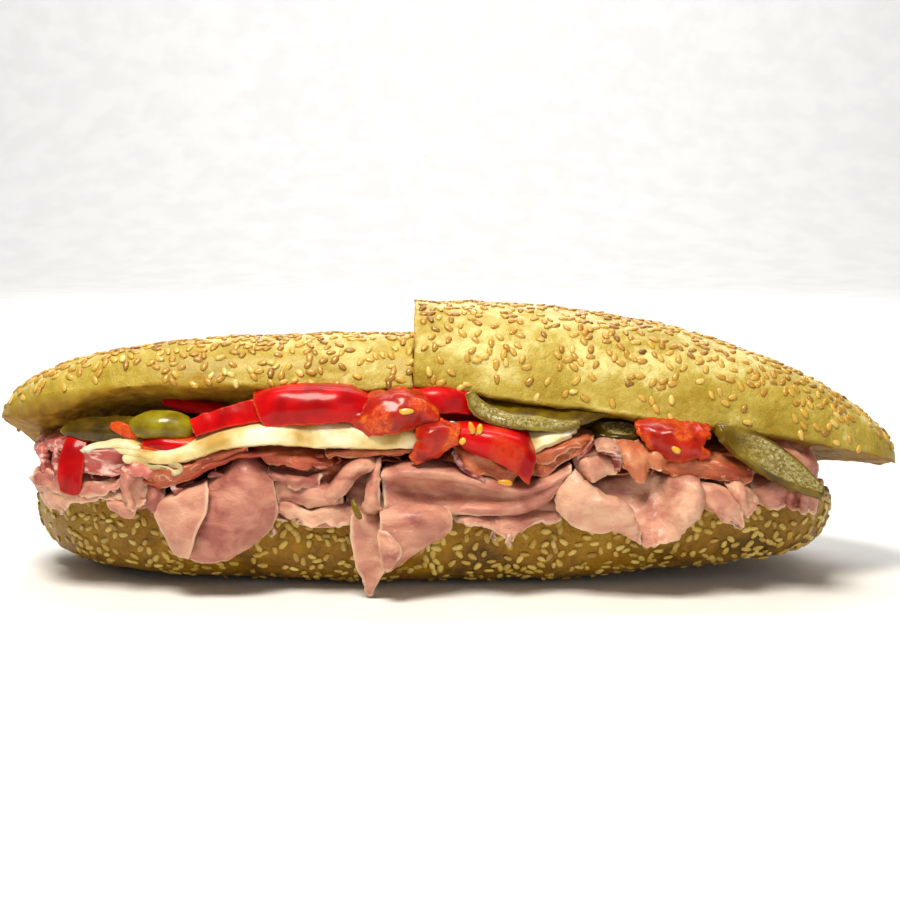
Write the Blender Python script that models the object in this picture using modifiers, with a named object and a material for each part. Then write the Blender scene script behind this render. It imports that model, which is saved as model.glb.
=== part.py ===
"""Submarine sandwich, 279 mm long: a sesame roll whose upper half is in two pieces, over folded ham,
cured meat, cheese, red pepper, tomato and pickle.

Frame: X along the roll, -Y the open front, +Z up, origin under the middle of the whole.
Lengths in this file are millimetres and become metres where a mesh is made.

The filling is laid as it is in a kitchen, from the bread up. Each slice is a sheet that follows a
path across the roll, and Pile keeps the height of everything laid so far, so that a slice drawn too
low comes to lie on what is under it.
"""

import math
from collections import namedtuple

import bmesh
import bpy
import numpy as np
from mathutils import Euler, Matrix, Vector

MM = 0.001
RIGHT_ANGLE = math.pi / 2
CLEARANCE = 0.35  # left between pieces that touch
MIDDLE = (0.1, -2.5)  # centre of the whole in plan, which the origin is moved to

# --- lower half of the roll -------------------------------------------------------------------
BASE_LEFT, BASE_RIGHT = -132.0, 119.0  # its ends
BASE_HALF_WIDTH = 40.5
BASE_HEIGHT = 28.6  # of the cut face, at the front
CUT_SLOPE = 0.07  # the knife went down towards the back
BASE_BOW = 5.0  # how far the ends lie behind the middle
ROCKER_LEFT, ROCKER_RIGHT = 2.2, 4.8  # how far the underside rises at the ends

# --- upper half of the roll -------------------------------------------------------------------
LID_CUT = -10.3  # where it is cut across
LID_SLIT = 0.6  # gap between its two pieces
TORN_RISE, TORN_REACH = 1.5, 26.0  # the right piece's lower edge lifts towards the cut
SECTION_SIDES = 20
DOME_SIDES = 15  # of those, how many go round the crust

# tip and cut along X; half width; crown height and how much it grows from the cut; reach and power
# of the taper in plan and in height; tilt back and pitch to the right in degrees; where the front
# edge lies at the cut; how far the far end is bent back and up
Lid = namedtuple("Lid", "name tip cut width crown growth plan rise tilt pitch edge bend")
LIDS = {
    "left": Lid("roll_lid_left", -137.5, LID_CUT - LID_SLIT, 37.5, 26.1, 0.0, (60.0, 0.64), (107.0, 0.56),
                25.0, 0.5, (-39.6, 60.0), (-6.5, 0.0)),
    "right": Lid("roll_lid_right", 140.0, LID_CUT, 38.3, 31.7, 3.0, (93.0, 0.46), (108.0, 0.6),
                 12.4, 7.3, (-39.7, 60.0), (-3.2, 0.0)),
}

# --- the filling ------------------------------------------------------------------------------
EDGE_RADIUS = 5.0  # how tightly a slice bends over the edge of the bread
FLAT_REACH = 35.0  # from the middle of the roll out to where that bend begins
BEND_END = FLAT_REACH + EDGE_RADIUS * RIGHT_ANGLE
HAM_THICKNESS = 1.2
CURED_THICKNESS = 1.0
CHEESE_THICKNESS = 1.5
FINER = 10  # steps between grid points when a sheet is laid
SETTLING_ROUNDS = 16

COLOURS = {
    "crust": (0.52, 0.34, 0.06),
    "ham": (0.58, 0.27, 0.18),
    "cured": (0.33, 0.07, 0.03),
    "cheese": (0.83, 0.72, 0.42),
    "pepper": (0.52, 0.015, 0.012),
    "tomato": (0.6, 0.08, 0.02),
    "pickle": (0.2, 0.17, 0.03),
}
GLOSSY = ("pepper", "tomato", "pickle")


def smooth_step(value):
    """0 below 0, 1 above 1, and an even ramp between."""
    value = np.clip(value, 0.0, 1.0)
    return value * value * (3.0 - 2.0 * value)


def rounded_end(distance, reach, power):
    """From 0 at the tip of the roll to 1 at reach from it."""
    left = 1.0 - np.clip(distance / reach, 0.0, 1.0)
    return np.maximum(1.0 - left * left, 0.0) ** power


def spline(values, places):
    """A smooth curve through evenly placed values, read at places from 0 to 1."""
    values = np.asarray(values, float)
    spans = len(values) - 1
    padded = np.concatenate([[2 * values[0] - values[1]], values, [2 * values[-1] - values[-2]]])
    at = np.clip(np.asarray(places, float), 0.0, 1.0) * spans
    first = np.minimum(at.astype(int), spans - 1)
    t = at - first
    if values.ndim > 1:
        t = t[..., None]
    a, b, c, d = (padded[first + step] for step in range(4))
    return b + 0.5 * t * (c - a + t * (2 * a - 5 * b + 4 * c - d + t * (3 * (b - c) + d - a)))


# --- scene ------------------------------------------------------------------------------------
def clear_scene():
    """Empties the scene and makes the sandwich's collection."""
    for item in list(bpy.data.objects):
        bpy.data.objects.remove(item)
    made = bpy.data.collections.new("submarine_sandwich")
    bpy.context.scene.collection.children.link(made)
    return made


def food_material(food):
    """A plain material in the food's own colour."""
    made = bpy.data.materials.get(food) or bpy.data.materials.new(food)
    made.use_nodes = True
    shader = made.node_tree.nodes["Principled BSDF"]
    shader.inputs["Base Color"].default_value = (*COLOURS[food], 1.0)
    shader.inputs["Roughness"].default_value = 0.3 if food in GLOSSY else 0.6
    shader.inputs["Metallic"].default_value = 0.0
    return made


def add_object(collection, name, food, bm):
    """Turns a bmesh in millimetres into an object of that name, in the frame of the whole."""
    bmesh.ops.translate(bm, vec=(-MIDDLE[0], -MIDDLE[1], 0.0), verts=bm.verts)
    bmesh.ops.scale(bm, vec=Vector((MM, MM, MM)), verts=bm.verts)
    bmesh.ops.recalc_face_normals(bm, faces=bm.faces)
    mesh = bpy.data.meshes.new(name)
    bm.to_mesh(mesh)
    bm.free()
    mesh.materials.append(food_material(food))
    mesh.shade_smooth()
    made = bpy.data.objects.new(name, mesh)
    collection.objects.link(made)
    return made


def cut_away(bm, point, normal):
    """Cuts off what lies beyond a plane and closes the cut."""
    made = bmesh.ops.bisect_plane(
        bm, geom=bm.verts[:] + bm.edges[:] + bm.faces[:], plane_co=point, plane_no=normal, clear_outer=True
    )
    rim = [item for item in made["geom_cut"] if isinstance(item, bmesh.types.BMEdge)]
    if rim:
        bmesh.ops.edgeloop_fill(bm, edges=rim)


# --- bread ------------------------------------------------------------------------------------
def base_width(x):
    """Half the width of the lower half at x."""
    return BASE_HALF_WIDTH * rounded_end(x - BASE_LEFT, 62.0, 0.62) * rounded_end(BASE_RIGHT - x, 36.0, 0.36)


def base_middle(x):
    """How far back the middle line of the lower half lies at x."""
    return BASE_BOW * (x / 120.0) ** 2


def cut_height(y):
    """Height of the lower half's cut face at y."""
    return BASE_HEIGHT - CUT_SLOPE * (y + BASE_HALF_WIDTH)


def laid_sphere(left, right, rings):
    """A UV sphere laid along X between left and right, and each vertex's (x, angle).

    The angle goes 0 to pi over the dome, front to back, and pi to 2 pi back across the cut face.
    """
    bm = bmesh.new()
    bmesh.ops.create_uvsphere(bm, u_segments=SECTION_SIDES, v_segments=rings, radius=1.0)
    bmesh.ops.rotate(bm, verts=bm.verts, cent=(0, 0, 0), matrix=Matrix.Rotation(RIGHT_ANGLE, 3, "Y"))
    places = {}
    for vert in bm.verts:
        side = (math.atan2(vert.co.z, -vert.co.y) % (2 * math.pi)) / (2 * math.pi) * SECTION_SIDES
        if side <= DOME_SIDES:
            angle = math.pi * side / DOME_SIDES
        else:
            angle = math.pi * (1 + (side - DOME_SIDES) / (SECTION_SIDES - DOME_SIDES))
        places[vert] = ((left + right) / 2 + (right - left) / 2 * vert.co.x, angle)
    return bm, places


def dome_point(angle, fullness, swell):
    """(across, depth) on a half section of half width 1 and depth 1, which swells below its edges."""
    c, s = math.cos(angle), max(math.sin(angle), 0.0)
    near, far = (math.sin(min(2.2 * a, math.pi)) for a in (angle, math.pi - angle))
    return -math.copysign(abs(c) ** fullness, c) * (1.0 + swell * (near + far)), s**fullness


def face_across(angle):
    """Place across the cut face, 1 at the back to -1 at the front."""
    return 1.0 - 2.0 * (angle - math.pi) / math.pi


def add_base(collection):
    """The lower half of the roll, flat where it stands and cut along the top."""
    bm, places = laid_sphere(BASE_LEFT, BASE_RIGHT, 22)
    for vert, (x, angle) in places.items():
        width, middle = float(base_width(x)), base_middle(x)
        low = ROCKER_LEFT * max(0.0, (-50 - x) / 60) ** 1.6 + ROCKER_RIGHT * max(0.0, (x - 20) / 60) ** 1.3
        if angle <= math.pi:
            across, depth = dome_point(angle, 0.64, 0.05)
            y = middle + width * across
            full = float(rounded_end(x - BASE_LEFT, 24.0, 0.32) * rounded_end(BASE_RIGHT - x, 16.0, 0.3))
            z = max(cut_height(y) - (cut_height(y) - low) * full * depth * 1.05, low)
        else:
            y = middle + width * face_across(angle)
            z = cut_height(y)
        vert.co = (x, y, z)
    return add_object(collection, "roll_base", "crust", bm)


def lid_matrix(lid):
    """Where a piece of the upper half lies: it turns about its front edge at the cut."""
    turn = Euler((-math.radians(lid.tilt), math.radians(lid.pitch), 0.0), "XYZ").to_matrix().to_4x4()
    return Matrix.Translation((LID_CUT, *lid.edge)) @ turn @ Matrix.Translation((-LID_CUT, lid.width, 0.0))


def lid_underside(lid):
    """(point, normal) of the crumb face, its normal pointing up into the bread."""
    matrix = lid_matrix(lid)
    return matrix @ Vector((LID_CUT, -lid.width, 0)), (matrix.to_3x3() @ Vector((0, 0, 1))).normalized()


def add_lid(collection, lid, pile):
    """One piece of the upper half, its crumb pressed in where the filling stands proud."""
    sign = 1.0 if lid.tip > lid.cut else -1.0
    reach = abs(lid.tip - lid.cut) + 12.0
    bm, places = laid_sphere(*sorted((lid.tip, lid.tip - 2 * sign * reach)), 30)
    for vert, (x, angle) in places.items():
        from_tip = max(sign * (lid.tip - x), 0.0)
        width = lid.width * float(rounded_end(from_tip, *lid.plan))
        crown = lid.crown + lid.growth * float(smooth_step(sign * (x - lid.cut) / 45.0))
        far = ((x - lid.cut) / 126.0) ** 2
        if angle <= math.pi:
            across, depth = dome_point(angle, 0.78, 0.03)
            z = crown * float(rounded_end(from_tip, *lid.rise)) * depth
        else:
            across, z = face_across(angle), 0.0
        vert.co = (x, width * across + lid.bend[0] * far, z + lid.bend[1] * far)
    if sign > 0:
        for vert in bm.verts:
            near = 1.0 - float(smooth_step((vert.co.x - lid.cut) / TORN_REACH))
            front = float(smooth_step(-vert.co.y / lid.width))
            vert.co.z += TORN_RISE * near * front * max(0.0, 1.0 - vert.co.z / 14.0)
    bmesh.ops.transform(bm, matrix=lid_matrix(lid), verts=bm.verts)
    cut_away(bm, (lid.cut, 0, 0), (-sign, 0, 0))
    point, normal = lid_underside(lid)
    under = [vert for vert in bm.verts if (vert.co - point).dot(normal) < 9.0]
    for vert in under:
        vert.co.z += max(0.0, pile.world_top(vert.co.x, vert.co.y, 3) + CLEARANCE - vert.co.z)
    return add_object(collection, lid.name, "crust", bm)


# --- the pile ---------------------------------------------------------------------------------
class Pile:
    """The filling so far, as height over every millimetre of the bread and of the table.

    A slice is drawn as (x, out, z): out is the distance from the middle line, to the front when
    positive, and z the height above the table. Over the bread the pile keeps (x, across, height):
    across follows the cut face, bends over its edge and goes on down the side of the bread, and
    height is measured off that line.
    """

    X_FROM, X_TO = -150, 150
    ACROSS_FROM, ACROSS_TO = -80, 80
    Y_FROM, Y_TO = -70, 70

    def __init__(self):
        across = np.abs(np.arange(self.ACROSS_FROM, self.ACROSS_TO + 1))
        turn = np.clip((across - FLAT_REACH) / EDGE_RADIUS, 0.01, RIGHT_ANGLE - 0.01)
        corner = np.minimum((EDGE_RADIUS - 0.8) / np.sin(turn), EDGE_RADIUS / np.cos(turn)) - EDGE_RADIUS
        self.top = np.tile(np.maximum(corner, 0.0), (self.X_TO - self.X_FROM + 1, 1))
        self.world = np.zeros((self.X_TO - self.X_FROM + 1, self.Y_TO - self.Y_FROM + 1))

    @staticmethod
    def flat(x):
        """Real distance from the middle line to the bend at x, which FLAT_REACH stands for."""
        return np.maximum(base_width(x) + 1.0 - EDGE_RADIUS, 3.0)

    def over_bread(self, x, out, z):
        """(across, height) of the points (x, out, z)."""
        side, far, flat = np.sign(out), np.abs(out), self.flat(x)
        level_y = base_middle(x) - side * np.minimum(far / FLAT_REACH, 1.0) * flat
        beyond = far - FLAT_REACH
        above = z - cut_height(level_y) + EDGE_RADIUS
        turned = FLAT_REACH + EDGE_RADIUS * np.arctan2(beyond, np.maximum(above, 0.0)) + np.maximum(-above, 0.0)
        bent = np.where(above > 0, np.hypot(beyond, above), beyond) - EDGE_RADIUS
        return side * np.where(beyond > 0, turned, far), np.where(beyond > 0, bent, above - EDGE_RADIUS)

    def to_world(self, x, across, height):
        """Points in space for (x, across, height)."""
        side, far, flat = np.sign(across), np.abs(across), self.flat(x)
        turn = np.clip((far - FLAT_REACH) / EDGE_RADIUS, 0.0, RIGHT_ANGLE)
        hang = np.maximum(far - BEND_END, 0.0)
        out = np.minimum(far / FLAT_REACH, 1.0) * flat + (EDGE_RADIUS + height) * np.sin(turn)
        level = cut_height(base_middle(x) - side * np.minimum(far / FLAT_REACH, 1.0) * flat)
        z = level - EDGE_RADIUS + (EDGE_RADIUS + height) * np.cos(turn) - hang
        return np.stack([x, base_middle(x) - side * out, z], axis=-1)

    def from_world(self, x, y, z):
        """(x, across, height) of points in space."""
        out, flat = base_middle(x) - y, self.flat(x)
        far = np.abs(out)
        drawn = np.where(far < flat, far / flat * FLAT_REACH, FLAT_REACH + far - flat)
        return x, *self.over_bread(x, np.sign(out) * drawn, z)

    def base(self, x, across):
        """Height that a slice's underside must clear."""
        wide = self.top
        for axis in (0, 1):
            wide = np.max([np.roll(wide, step, axis) for step in (-1, 0, 1)], axis=0)
        i = np.clip(np.round(x - self.X_FROM).astype(int), 0, wide.shape[0] - 1)
        j = np.clip(np.round(across - self.ACROSS_FROM).astype(int), 0, wide.shape[1] - 1)
        return wide[i, j]

    def world_top(self, x, y, radius):
        """Height above the table of whatever is laid within radius of (x, y)."""
        i, j = int(round(x)) - self.X_FROM, int(round(y)) - self.Y_FROM
        near = self.world[max(i - radius, 0) : i + radius + 1, max(j - radius, 0) : j + radius + 1]
        return float(near.max()) if near.size else 0.0

    def settle(self, x, across, height, thickness):
        """Raises a sheet where it would cut into the pile, adds it, and gives its heights back."""
        for _ in range(SETTLING_ROUNDS):
            fine = self.from_world(*(refined(part) for part in np.moveaxis(self.to_world(x, across, height), -1, 0)))
            top = fine[2] + thickness / 2 * steepness(*fine)
            short = self.base(*fine[:2]) + CLEARANCE + top - 2 * fine[2]
            height = height + widest(np.maximum(short, 0.0), height.shape)
            if short.max() < 0.05:
                break
        self.mark(*fine[:2], top)
        return height

    def mark(self, x, across, top):
        """Adds a laid sheet, given by the height of its upper side."""
        i = np.round(x - self.X_FROM).astype(int)
        j = np.clip(np.round(across - self.ACROSS_FROM).astype(int), 0, self.top.shape[1] - 1)
        np.maximum.at(self.top, (i, j), top)
        self.mark_points(self.to_world(x, across, top).reshape(-1, 3))

    def mark_points(self, points):
        """Adds points to the height above the table."""
        i = np.clip(np.round(points[:, 0] - self.X_FROM).astype(int), 0, self.world.shape[0] - 1)
        j = np.clip(np.round(points[:, 1] - self.Y_FROM).astype(int), 0, self.world.shape[1] - 1)
        np.maximum.at(self.world, (i, j), points[:, 2])


def refined(field):
    """The same grid of values with FINER times as many steps each way."""
    rows, columns = field.shape
    r = np.linspace(0, rows - 1, (rows - 1) * FINER + 1)
    c = np.linspace(0, columns - 1, (columns - 1) * FINER + 1)
    down = np.stack([np.interp(r, range(rows), field[:, k]) for k in range(columns)], axis=1)
    return np.stack([np.interp(c, range(columns), row) for row in down], axis=0)


def widest(fine, shape):
    """The greatest refined value beside each point of the coarse grid, less the farther off it is."""
    made = np.zeros(shape)
    nearness = 1.0 - np.abs(np.arange(1 - FINER, FINER)) / FINER
    padded = np.pad(fine, FINER - 1)
    for i, j in np.ndindex(*shape):
        near = padded[i * FINER : i * FINER + 2 * FINER - 1, j * FINER : j * FINER + 2 * FINER - 1]
        made[i, j] = (near * nearness[:, None] * nearness).max()
    return made


def steepness(x, across, height):
    """How much deeper than its thickness a sheet is where it slopes."""
    total = np.ones(height.shape)
    for axis in (0, 1):
        run = np.hypot(np.gradient(x, axis=axis), np.gradient(across, axis=axis))
        total += (np.gradient(height, axis=axis) / np.maximum(run, 0.02)) ** 2
    return np.minimum(np.sqrt(total), 1.8)


def add_slice(
    collection, pile, name, food, thickness, span, path, hem, crest=(0.0, 0.0), tail=(0.0, 0.0),
    reach=(0.0, 0.0), ripple=(0.0, 20.0, 0.0), lean=0.0, drop=0.55, steps=(7, 7),
):
    """Lays one slice on the pile.

    span is its reach along X. path holds (out, z) from its inner edge to its hem; hem gives the z of
    the hem at even steps along the slice, crest how much the rest is raised there, tail how much its
    inner edge is, and reach how far its hem is moved out. ripple is (depth, wave length, phase) of the
    ruffle, which grows towards the hem. lean moves the hem along X, and drop is how far down the path
    the hem begins to fall.
    """
    columns, rows = steps
    u, v = np.meshgrid(np.linspace(0.0, 1.0, columns), np.linspace(0.0, 1.0, rows), indexing="ij")
    curve = spline(path, v)
    fall = smooth_step((v - drop) / (1.0 - drop))
    out = curve[..., 0] + spline(reach, u) * v**3
    z = curve[..., 1] + (spline(hem, u) - path[-1][1]) * fall + spline(crest, u) * (1.0 - fall)
    z = z + spline(tail, u) * (1.0 - v) ** 3
    x = span[0] + (span[1] - span[0]) * u + lean * v * v
    across, height = pile.over_bread(x, out, z)
    depth, wave, phase = ripple
    height = height + depth * (0.5 + 0.5 * np.sin(2 * math.pi * x / wave + phase + 1.5 * v)) * (0.2 + 0.8 * v)
    height = pile.settle(x, across, height + thickness / 2, thickness)
    bm = bmesh.new()
    bmesh.ops.create_grid(bm, x_segments=rows - 1, y_segments=columns - 1, size=1.0)
    bm.verts.ensure_lookup_table()
    for vert, point in zip(bm.verts, pile.to_world(x, across, height).reshape(-1, 3)):
        vert.co = point
    made = add_object(collection, name, food, bm)
    solidify = made.modifiers.new("thickness", "SOLIDIFY")
    solidify.thickness = thickness * MM
    solidify.offset = 0.0
    return made


def add_chunk(
    collection, pile, name, food, size, place, turn, lid=None, power=(2.6, 3.5), bend=0.0, sweep=0.0,
    taper=0.0, cuts=2, settle=True,
):
    """A firm piece: a rounded block long, wide and thick, bent along its length and set at place.

    power is the roundness of its outline and of its edge; bend curls it out of its own plane, sweep
    within it, and taper narrows one end. A settled piece is raised until it lies on the pile. lid
    names the bread that presses on it and cuts it flat.
    """
    bm = bmesh.new()
    bmesh.ops.create_cube(bm, size=2.0)
    bmesh.ops.subdivide_edges(bm, edges=bm.edges[:], cuts=cuts, use_grid_fill=True)
    long, wide, thick = (value / 2 for value in size)
    for vert in bm.verts:
        x, y, z = (math.sin(RIGHT_ANGLE * c * 0.9) / math.sin(RIGHT_ANGLE * 0.9) for c in vert.co)
        reach = max(abs(x), abs(y), abs(z))
        plan = (abs(x) ** power[0] + abs(y) ** power[0]) ** (1 / power[0])
        norm = (plan ** power[1] + abs(z) ** power[1]) ** (1 / power[1])
        x, y, z = (c * reach / norm for c in (x, y, z))
        y *= wide * (1.0 + taper * x)
        x, z = x * long, z * thick
        for amount, flat in ((sweep, False), (bend, True)):
            if amount:
                radius = long / amount
                off = z if flat else y
                x, off = (radius - off) * math.sin(x / radius), radius - (radius - off) * math.cos(x / radius)
                y, z = (y, off) if flat else (off, z)
        vert.co = (x, y, z)
    turned = Euler([math.radians(angle) for angle in turn], "XYZ").to_matrix().to_4x4()
    bmesh.ops.transform(bm, matrix=Matrix.Translation(place) @ turned, verts=bm.verts)
    if settle:
        bm.normal_update()
        lower = [vert.co for vert in bm.verts if vert.normal.z < 0.3]
        lift = max(pile.world_top(co.x, co.y, 1) + CLEARANCE - co.z for co in lower)
        bmesh.ops.translate(bm, vec=(0, 0, lift), verts=bm.verts)
    if lid is not None:
        point, normal = lid_underside(lid)
        cut_away(bm, point - normal * CLEARANCE, normal)
    centres = [face.calc_center_median() for face in bm.faces]
    pile.mark_points(np.array([vert.co for vert in bm.verts] + centres))
    return add_object(collection, name, food, bm)


def add_ham(collection, pile):
    """Folded boiled ham: a bed along the roll, then the slices that hang over its edges."""

    def ham(name, span, path, hem, **shape):
        add_slice(collection, pile, name, "ham", HAM_THICKNESS, span, path, hem, **shape)

    bed = ((-42, 22), (-39, 25.5), (-24, 26), (0, 28), (24, 29.5), (38, 30.4), (41.3, 29), (42, 25.5))
    ham("ham_bed_left", (-124, -84), bed, (30, 25, 28, 27, 24, 27), tail=(2, -3, 1, -2, 0), ripple=(1.2, 13.0, 0.0),
        steps=(7, 8))
    ham("ham_bed_middle", (-82, -1), bed, (29, 30, 27, 20, 21, 28, 29), tail=(1, -3, 1, 0, -4, 0, -2, 1),
        reach=(-6, -6, -3, 0, 0, -5, -5), ripple=(0.6, 16.0, 2.0), steps=(11, 8))
    ham("ham_bed_right", (1, 56), bed, (23, 22, 17.5, 23.5, 25, 29, 29, 29), tail=(0, -3, 1, -2, 0),
        reach=(0, 0, 0, 0, -2, -5, -5, -5), ripple=(0.5, 21.0, 1.0), steps=(10, 8))
    ham("ham_bed_end", (58, 112), bed, (29, 29, 28, 28, 28, 27, 28), tail=(0, -2, 1, -3, 1),
        reach=(-6, -6, -5, -5, -4, -3, 0), ripple=(0.8, 14.0, 0.5), steps=(8, 8))
    ham("ham_pleat_left", (-86, -67), ((31, 31.5), (37, 33), (41, 29.5), (42.3, 24), (42.5, 18), (42.5, 12)),
        (24, 15, 11.5, 12, 15), crest=(-5, -3, 0, 1), steps=(6, 6))
    ham("ham_tuck_middle", (-51, -31.5), ((8, 31), (22, 33), (32, 36), (38, 35), (41.8, 31), (42.3, 27)),
        (26, 29, 27, 29, 26), ripple=(0.8, 12.0, 0.0), steps=(7, 6))
    ham("ham_drape_left", (-69, -48),
        ((22, 33), (31, 38), (37, 39.5), (42, 36), (44.3, 29), (45, 22), (44.8, 16), (44, 11)),
        (11, 11, 12, 14, 20), crest=(-7, -2, 0, -1, -7), lean=-6.0, drop=0.45, steps=(9, 8))
    ham("ham_hanging_tip", (-29.5, -9), ((30, 31), (37, 31.5), (40.8, 29.5), (42.3, 24), (42.5, 18), (42.5, 12)),
        (15, 3.0, 1.5, 7, 11, 14, 17), drop=0.35, steps=(10, 7))
    ham("ham_roll_small", (-33, -21.5), ((12, 34), (24, 38), (32, 40.5), (38, 39.5), (43, 35), (44, 30.5), (42.5, 27)),
        (29, 28, 27, 26), crest=(-7, -2, 0, -1), steps=(6, 8))
    ham("ham_drape_centre", (-19.5, 35),
        ((6, 34), (20, 37), (31, 39), (37.5, 39.3), (41.7, 37), (40.3, 33.5), (41.2, 30.5), (44.3, 28), (44.8, 25),
         (43.5, 23)), (8.5, 10, 14, 18, 24, 23.5, 24, 26, 31, 36), crest=(-1, 0, 0, -1.5, -4, -6, -5, -1), drop=0.66,
        steps=(11, 10))
    ham("ham_pocket_right", (40, 71), ((10, 30), (22, 32), (32, 35), (38, 34), (41.5, 29), (42.5, 22)),
        (24, 21, 18, 19, 23, 28), crest=(2, 1, 0, -1, -3), ripple=(1.2, 9.0, 0.0), steps=(9, 7))
    ham("ham_flap_right", (28, 57), ((44, 33), (45.5, 29.5), (46, 25), (44.5, 20.5)),
        (29, 22, 20, 19.5, 18), crest=(0, 3.5, -2, -4.5, -11), drop=0.3, steps=(8, 5))
    ham("ham_frill_right", (70, 88), ((10, 29), (24, 31), (33, 33), (38.5, 31.5), (42, 27.5), (43, 22)),
        (26, 22, 21, 27), ripple=(1.6, 8.0, 0.0), steps=(7, 6))
    ham("ham_frill_end", (87, 111), ((10, 29), (24, 31), (33, 33.5), (38.5, 32.5), (42, 29), (43, 25)),
        (28, 26, 24.5, 27), ripple=(1.6, 9.0, 1.0), steps=(7, 6))
    ham("ham_curl_left", (-96, -85), ((12, 31), (26, 34.5), (34, 36), (40.5, 34.5), (43, 30), (42.5, 26)),
        (27, 24.5, 27), crest=(-2, 0, -1), ripple=(0.6, 7.0, 0.0), steps=(5, 6))
    ham("ham_fold_back", (-8, 47), ((4, 31), (-16, 33), (-28, 37), (-35, 36), (-40, 31), (-41.8, 26)),
        (26, 22, 27, 21, 27), crest=(4, 4, 3, 0.5, -0.5), ripple=(1.2, 15.0, 0.0), steps=(8, 7))
    ham("ham_fold_back_end", (49, 97), ((4, 30), (-16, 31), (-28, 33), (-35, 32.5), (-40, 28.5), (-41.5, 24)),
        (25, 21, 26, 23, 25), crest=(4, 3, 0, -2), ripple=(1.2, 13.0, 1.0), steps=(8, 6))


def add_cured_meat(collection, pile):
    """Thin cured slices, ruffled along the front, over the ham."""

    def cured(name, span, path, hem, **shape):
        add_slice(collection, pile, name, "cured", CURED_THICKNESS, span, path, hem, **shape)

    low = ((-20, 26.5), (2, 29), (22, 31), (33, 33), (39, 32.5), (41.5, 30.5))
    high = ((-26, 25), (-4, 31), (16, 37), (30, 42.5), (37.5, 43.2), (41, 40.5))
    cured("cured_under_left", (-108, -98), low, (31, 30.5, 31, 33), ripple=(1.0, 9.0, 0.0), steps=(6, 6))
    cured("cured_left_end", (-125, -104), ((-10, 29), (10, 33), (26, 40), (35, 43.5), (40.5, 41), (42, 35.5), (41, 32)),
          (37, 32, 31, 32), crest=(-9, -2, 0, -1), ripple=(1.5, 9.0, 0.0), steps=(7, 7))
    cured("cured_fold_left", (-105.5, -95), ((-8, 28), (10, 32), (24, 37), (34, 41), (40, 41), (43, 38), (42.5, 35)),
          (35, 34.5, 35), ripple=(0.6, 6.5, 0.0), steps=(6, 7))
    cured("cured_slice_left", (-93, -72), ((-14, 28), (8, 31), (24, 33.5), (35, 37), (41, 36.5), (42.5, 34)),
          (37, 34, 33, 35), crest=(-2, 0, 0, 2), ripple=(1.4, 10.0, 0.0), steps=(7, 6))
    cured("cured_ruffle_middle", (-70, -34.5), high, (35.5, 37, 39, 37, 37, 39), crest=(-6, -3, -1, 0, 0),
          ripple=(2.0, 11.0, 2.0), steps=(11, 6))
    cured("cured_centre", (-32.5, -2), high[1:], (41, 41, 40, 39.5), ripple=(1.2, 13.0, 0.5), steps=(8, 6))
    cured("cured_rim_centre", (0, 22), ((-18, 37), (0, 40), (18, 42), (30, 43), (37.5, 42.8), (42, 40), (43.5, 36)),
          (44, 39, 36, 35, 37), ripple=(0.4, 16.0, 0.0), steps=(8, 7))
    cured("cured_slope_right", (24, 40), ((-24, 35), (-4, 38), (14, 40.5), (28, 41.5), (37, 42), (41.5, 40.5)),
          (36.5, 38, 41, 44.5), crest=(-1, 0, 1, 2), ripple=(1.2, 9.0, 0.0), steps=(7, 7))
    cured("cured_ring_right", (42, 54), ((-18, 33), (0, 36), (18, 38), (30, 39.5), (38, 39.5), (42.3, 38), (43, 36)),
          (41, 36.5, 40, 36), ripple=(1.4, 7.0, 0.0), steps=(7, 7))
    cured("cured_ruffle_right", (56, 68), ((-18, 31.5), (0, 34.5), (16, 37), (30, 38.5), (38, 39), (42.5, 36.5)),
          (38, 35.5, 38.5, 37), ripple=(1.8, 6.5, 1.0), steps=(7, 6))
    cured("cured_slope_end", (70, 86), ((-18, 30.5), (0, 34), (16, 36), (30, 37.5), (38, 37), (42.5, 34)),
          (37, 35, 33, 31.5), crest=(1, 0, 0, -1), ripple=(1.6, 9.0, 0.0), steps=(8, 6))
    cured("cured_right_end", (88, 110), ((-14, 28), (0, 30), (16, 33), (29, 36.5), (37, 36.5), (42, 33)),
          (32, 33, 33, 34), crest=(1, 0, 0, -2), ripple=(1.6, 10.0, 2.0), steps=(7, 6))


def add_cheese(collection, pile):
    """Thin slices of pale cheese, split in two at the left end."""

    def cheese(name, span, path, hem, **shape):
        add_slice(collection, pile, name, "cheese", CHEESE_THICKNESS, span, path, hem, **shape)

    cheese("cheese_left", (-93, -8), ((-3, 34), (9, 38.5), (22, 43.5), (33, 48), (39, 48), (42, 45)),
           (41, 38.5, 40.5, 45, 45, 45, 44.5, 43.5), crest=(-6, -7, -4, -1, 0, 1, 1, 0.5), steps=(13, 6))
    cheese("cheese_upper", (-106, -86), ((0, 33), (12, 37), (24, 42), (33, 45), (39, 45.5), (42, 44.5)),
           (43, 45.5, 45, 42), crest=(-2, 0, 0, -2), steps=(6, 5))
    cheese("cheese_right", (15, 36.5), ((-10, 36), (6, 38.5), (20, 41.5), (31, 44.5), (38, 45), (42, 43.5)),
           (41, 41.5, 44, 46.5), crest=(-1, -1, 0, 1.5), steps=(6, 5))


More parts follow.
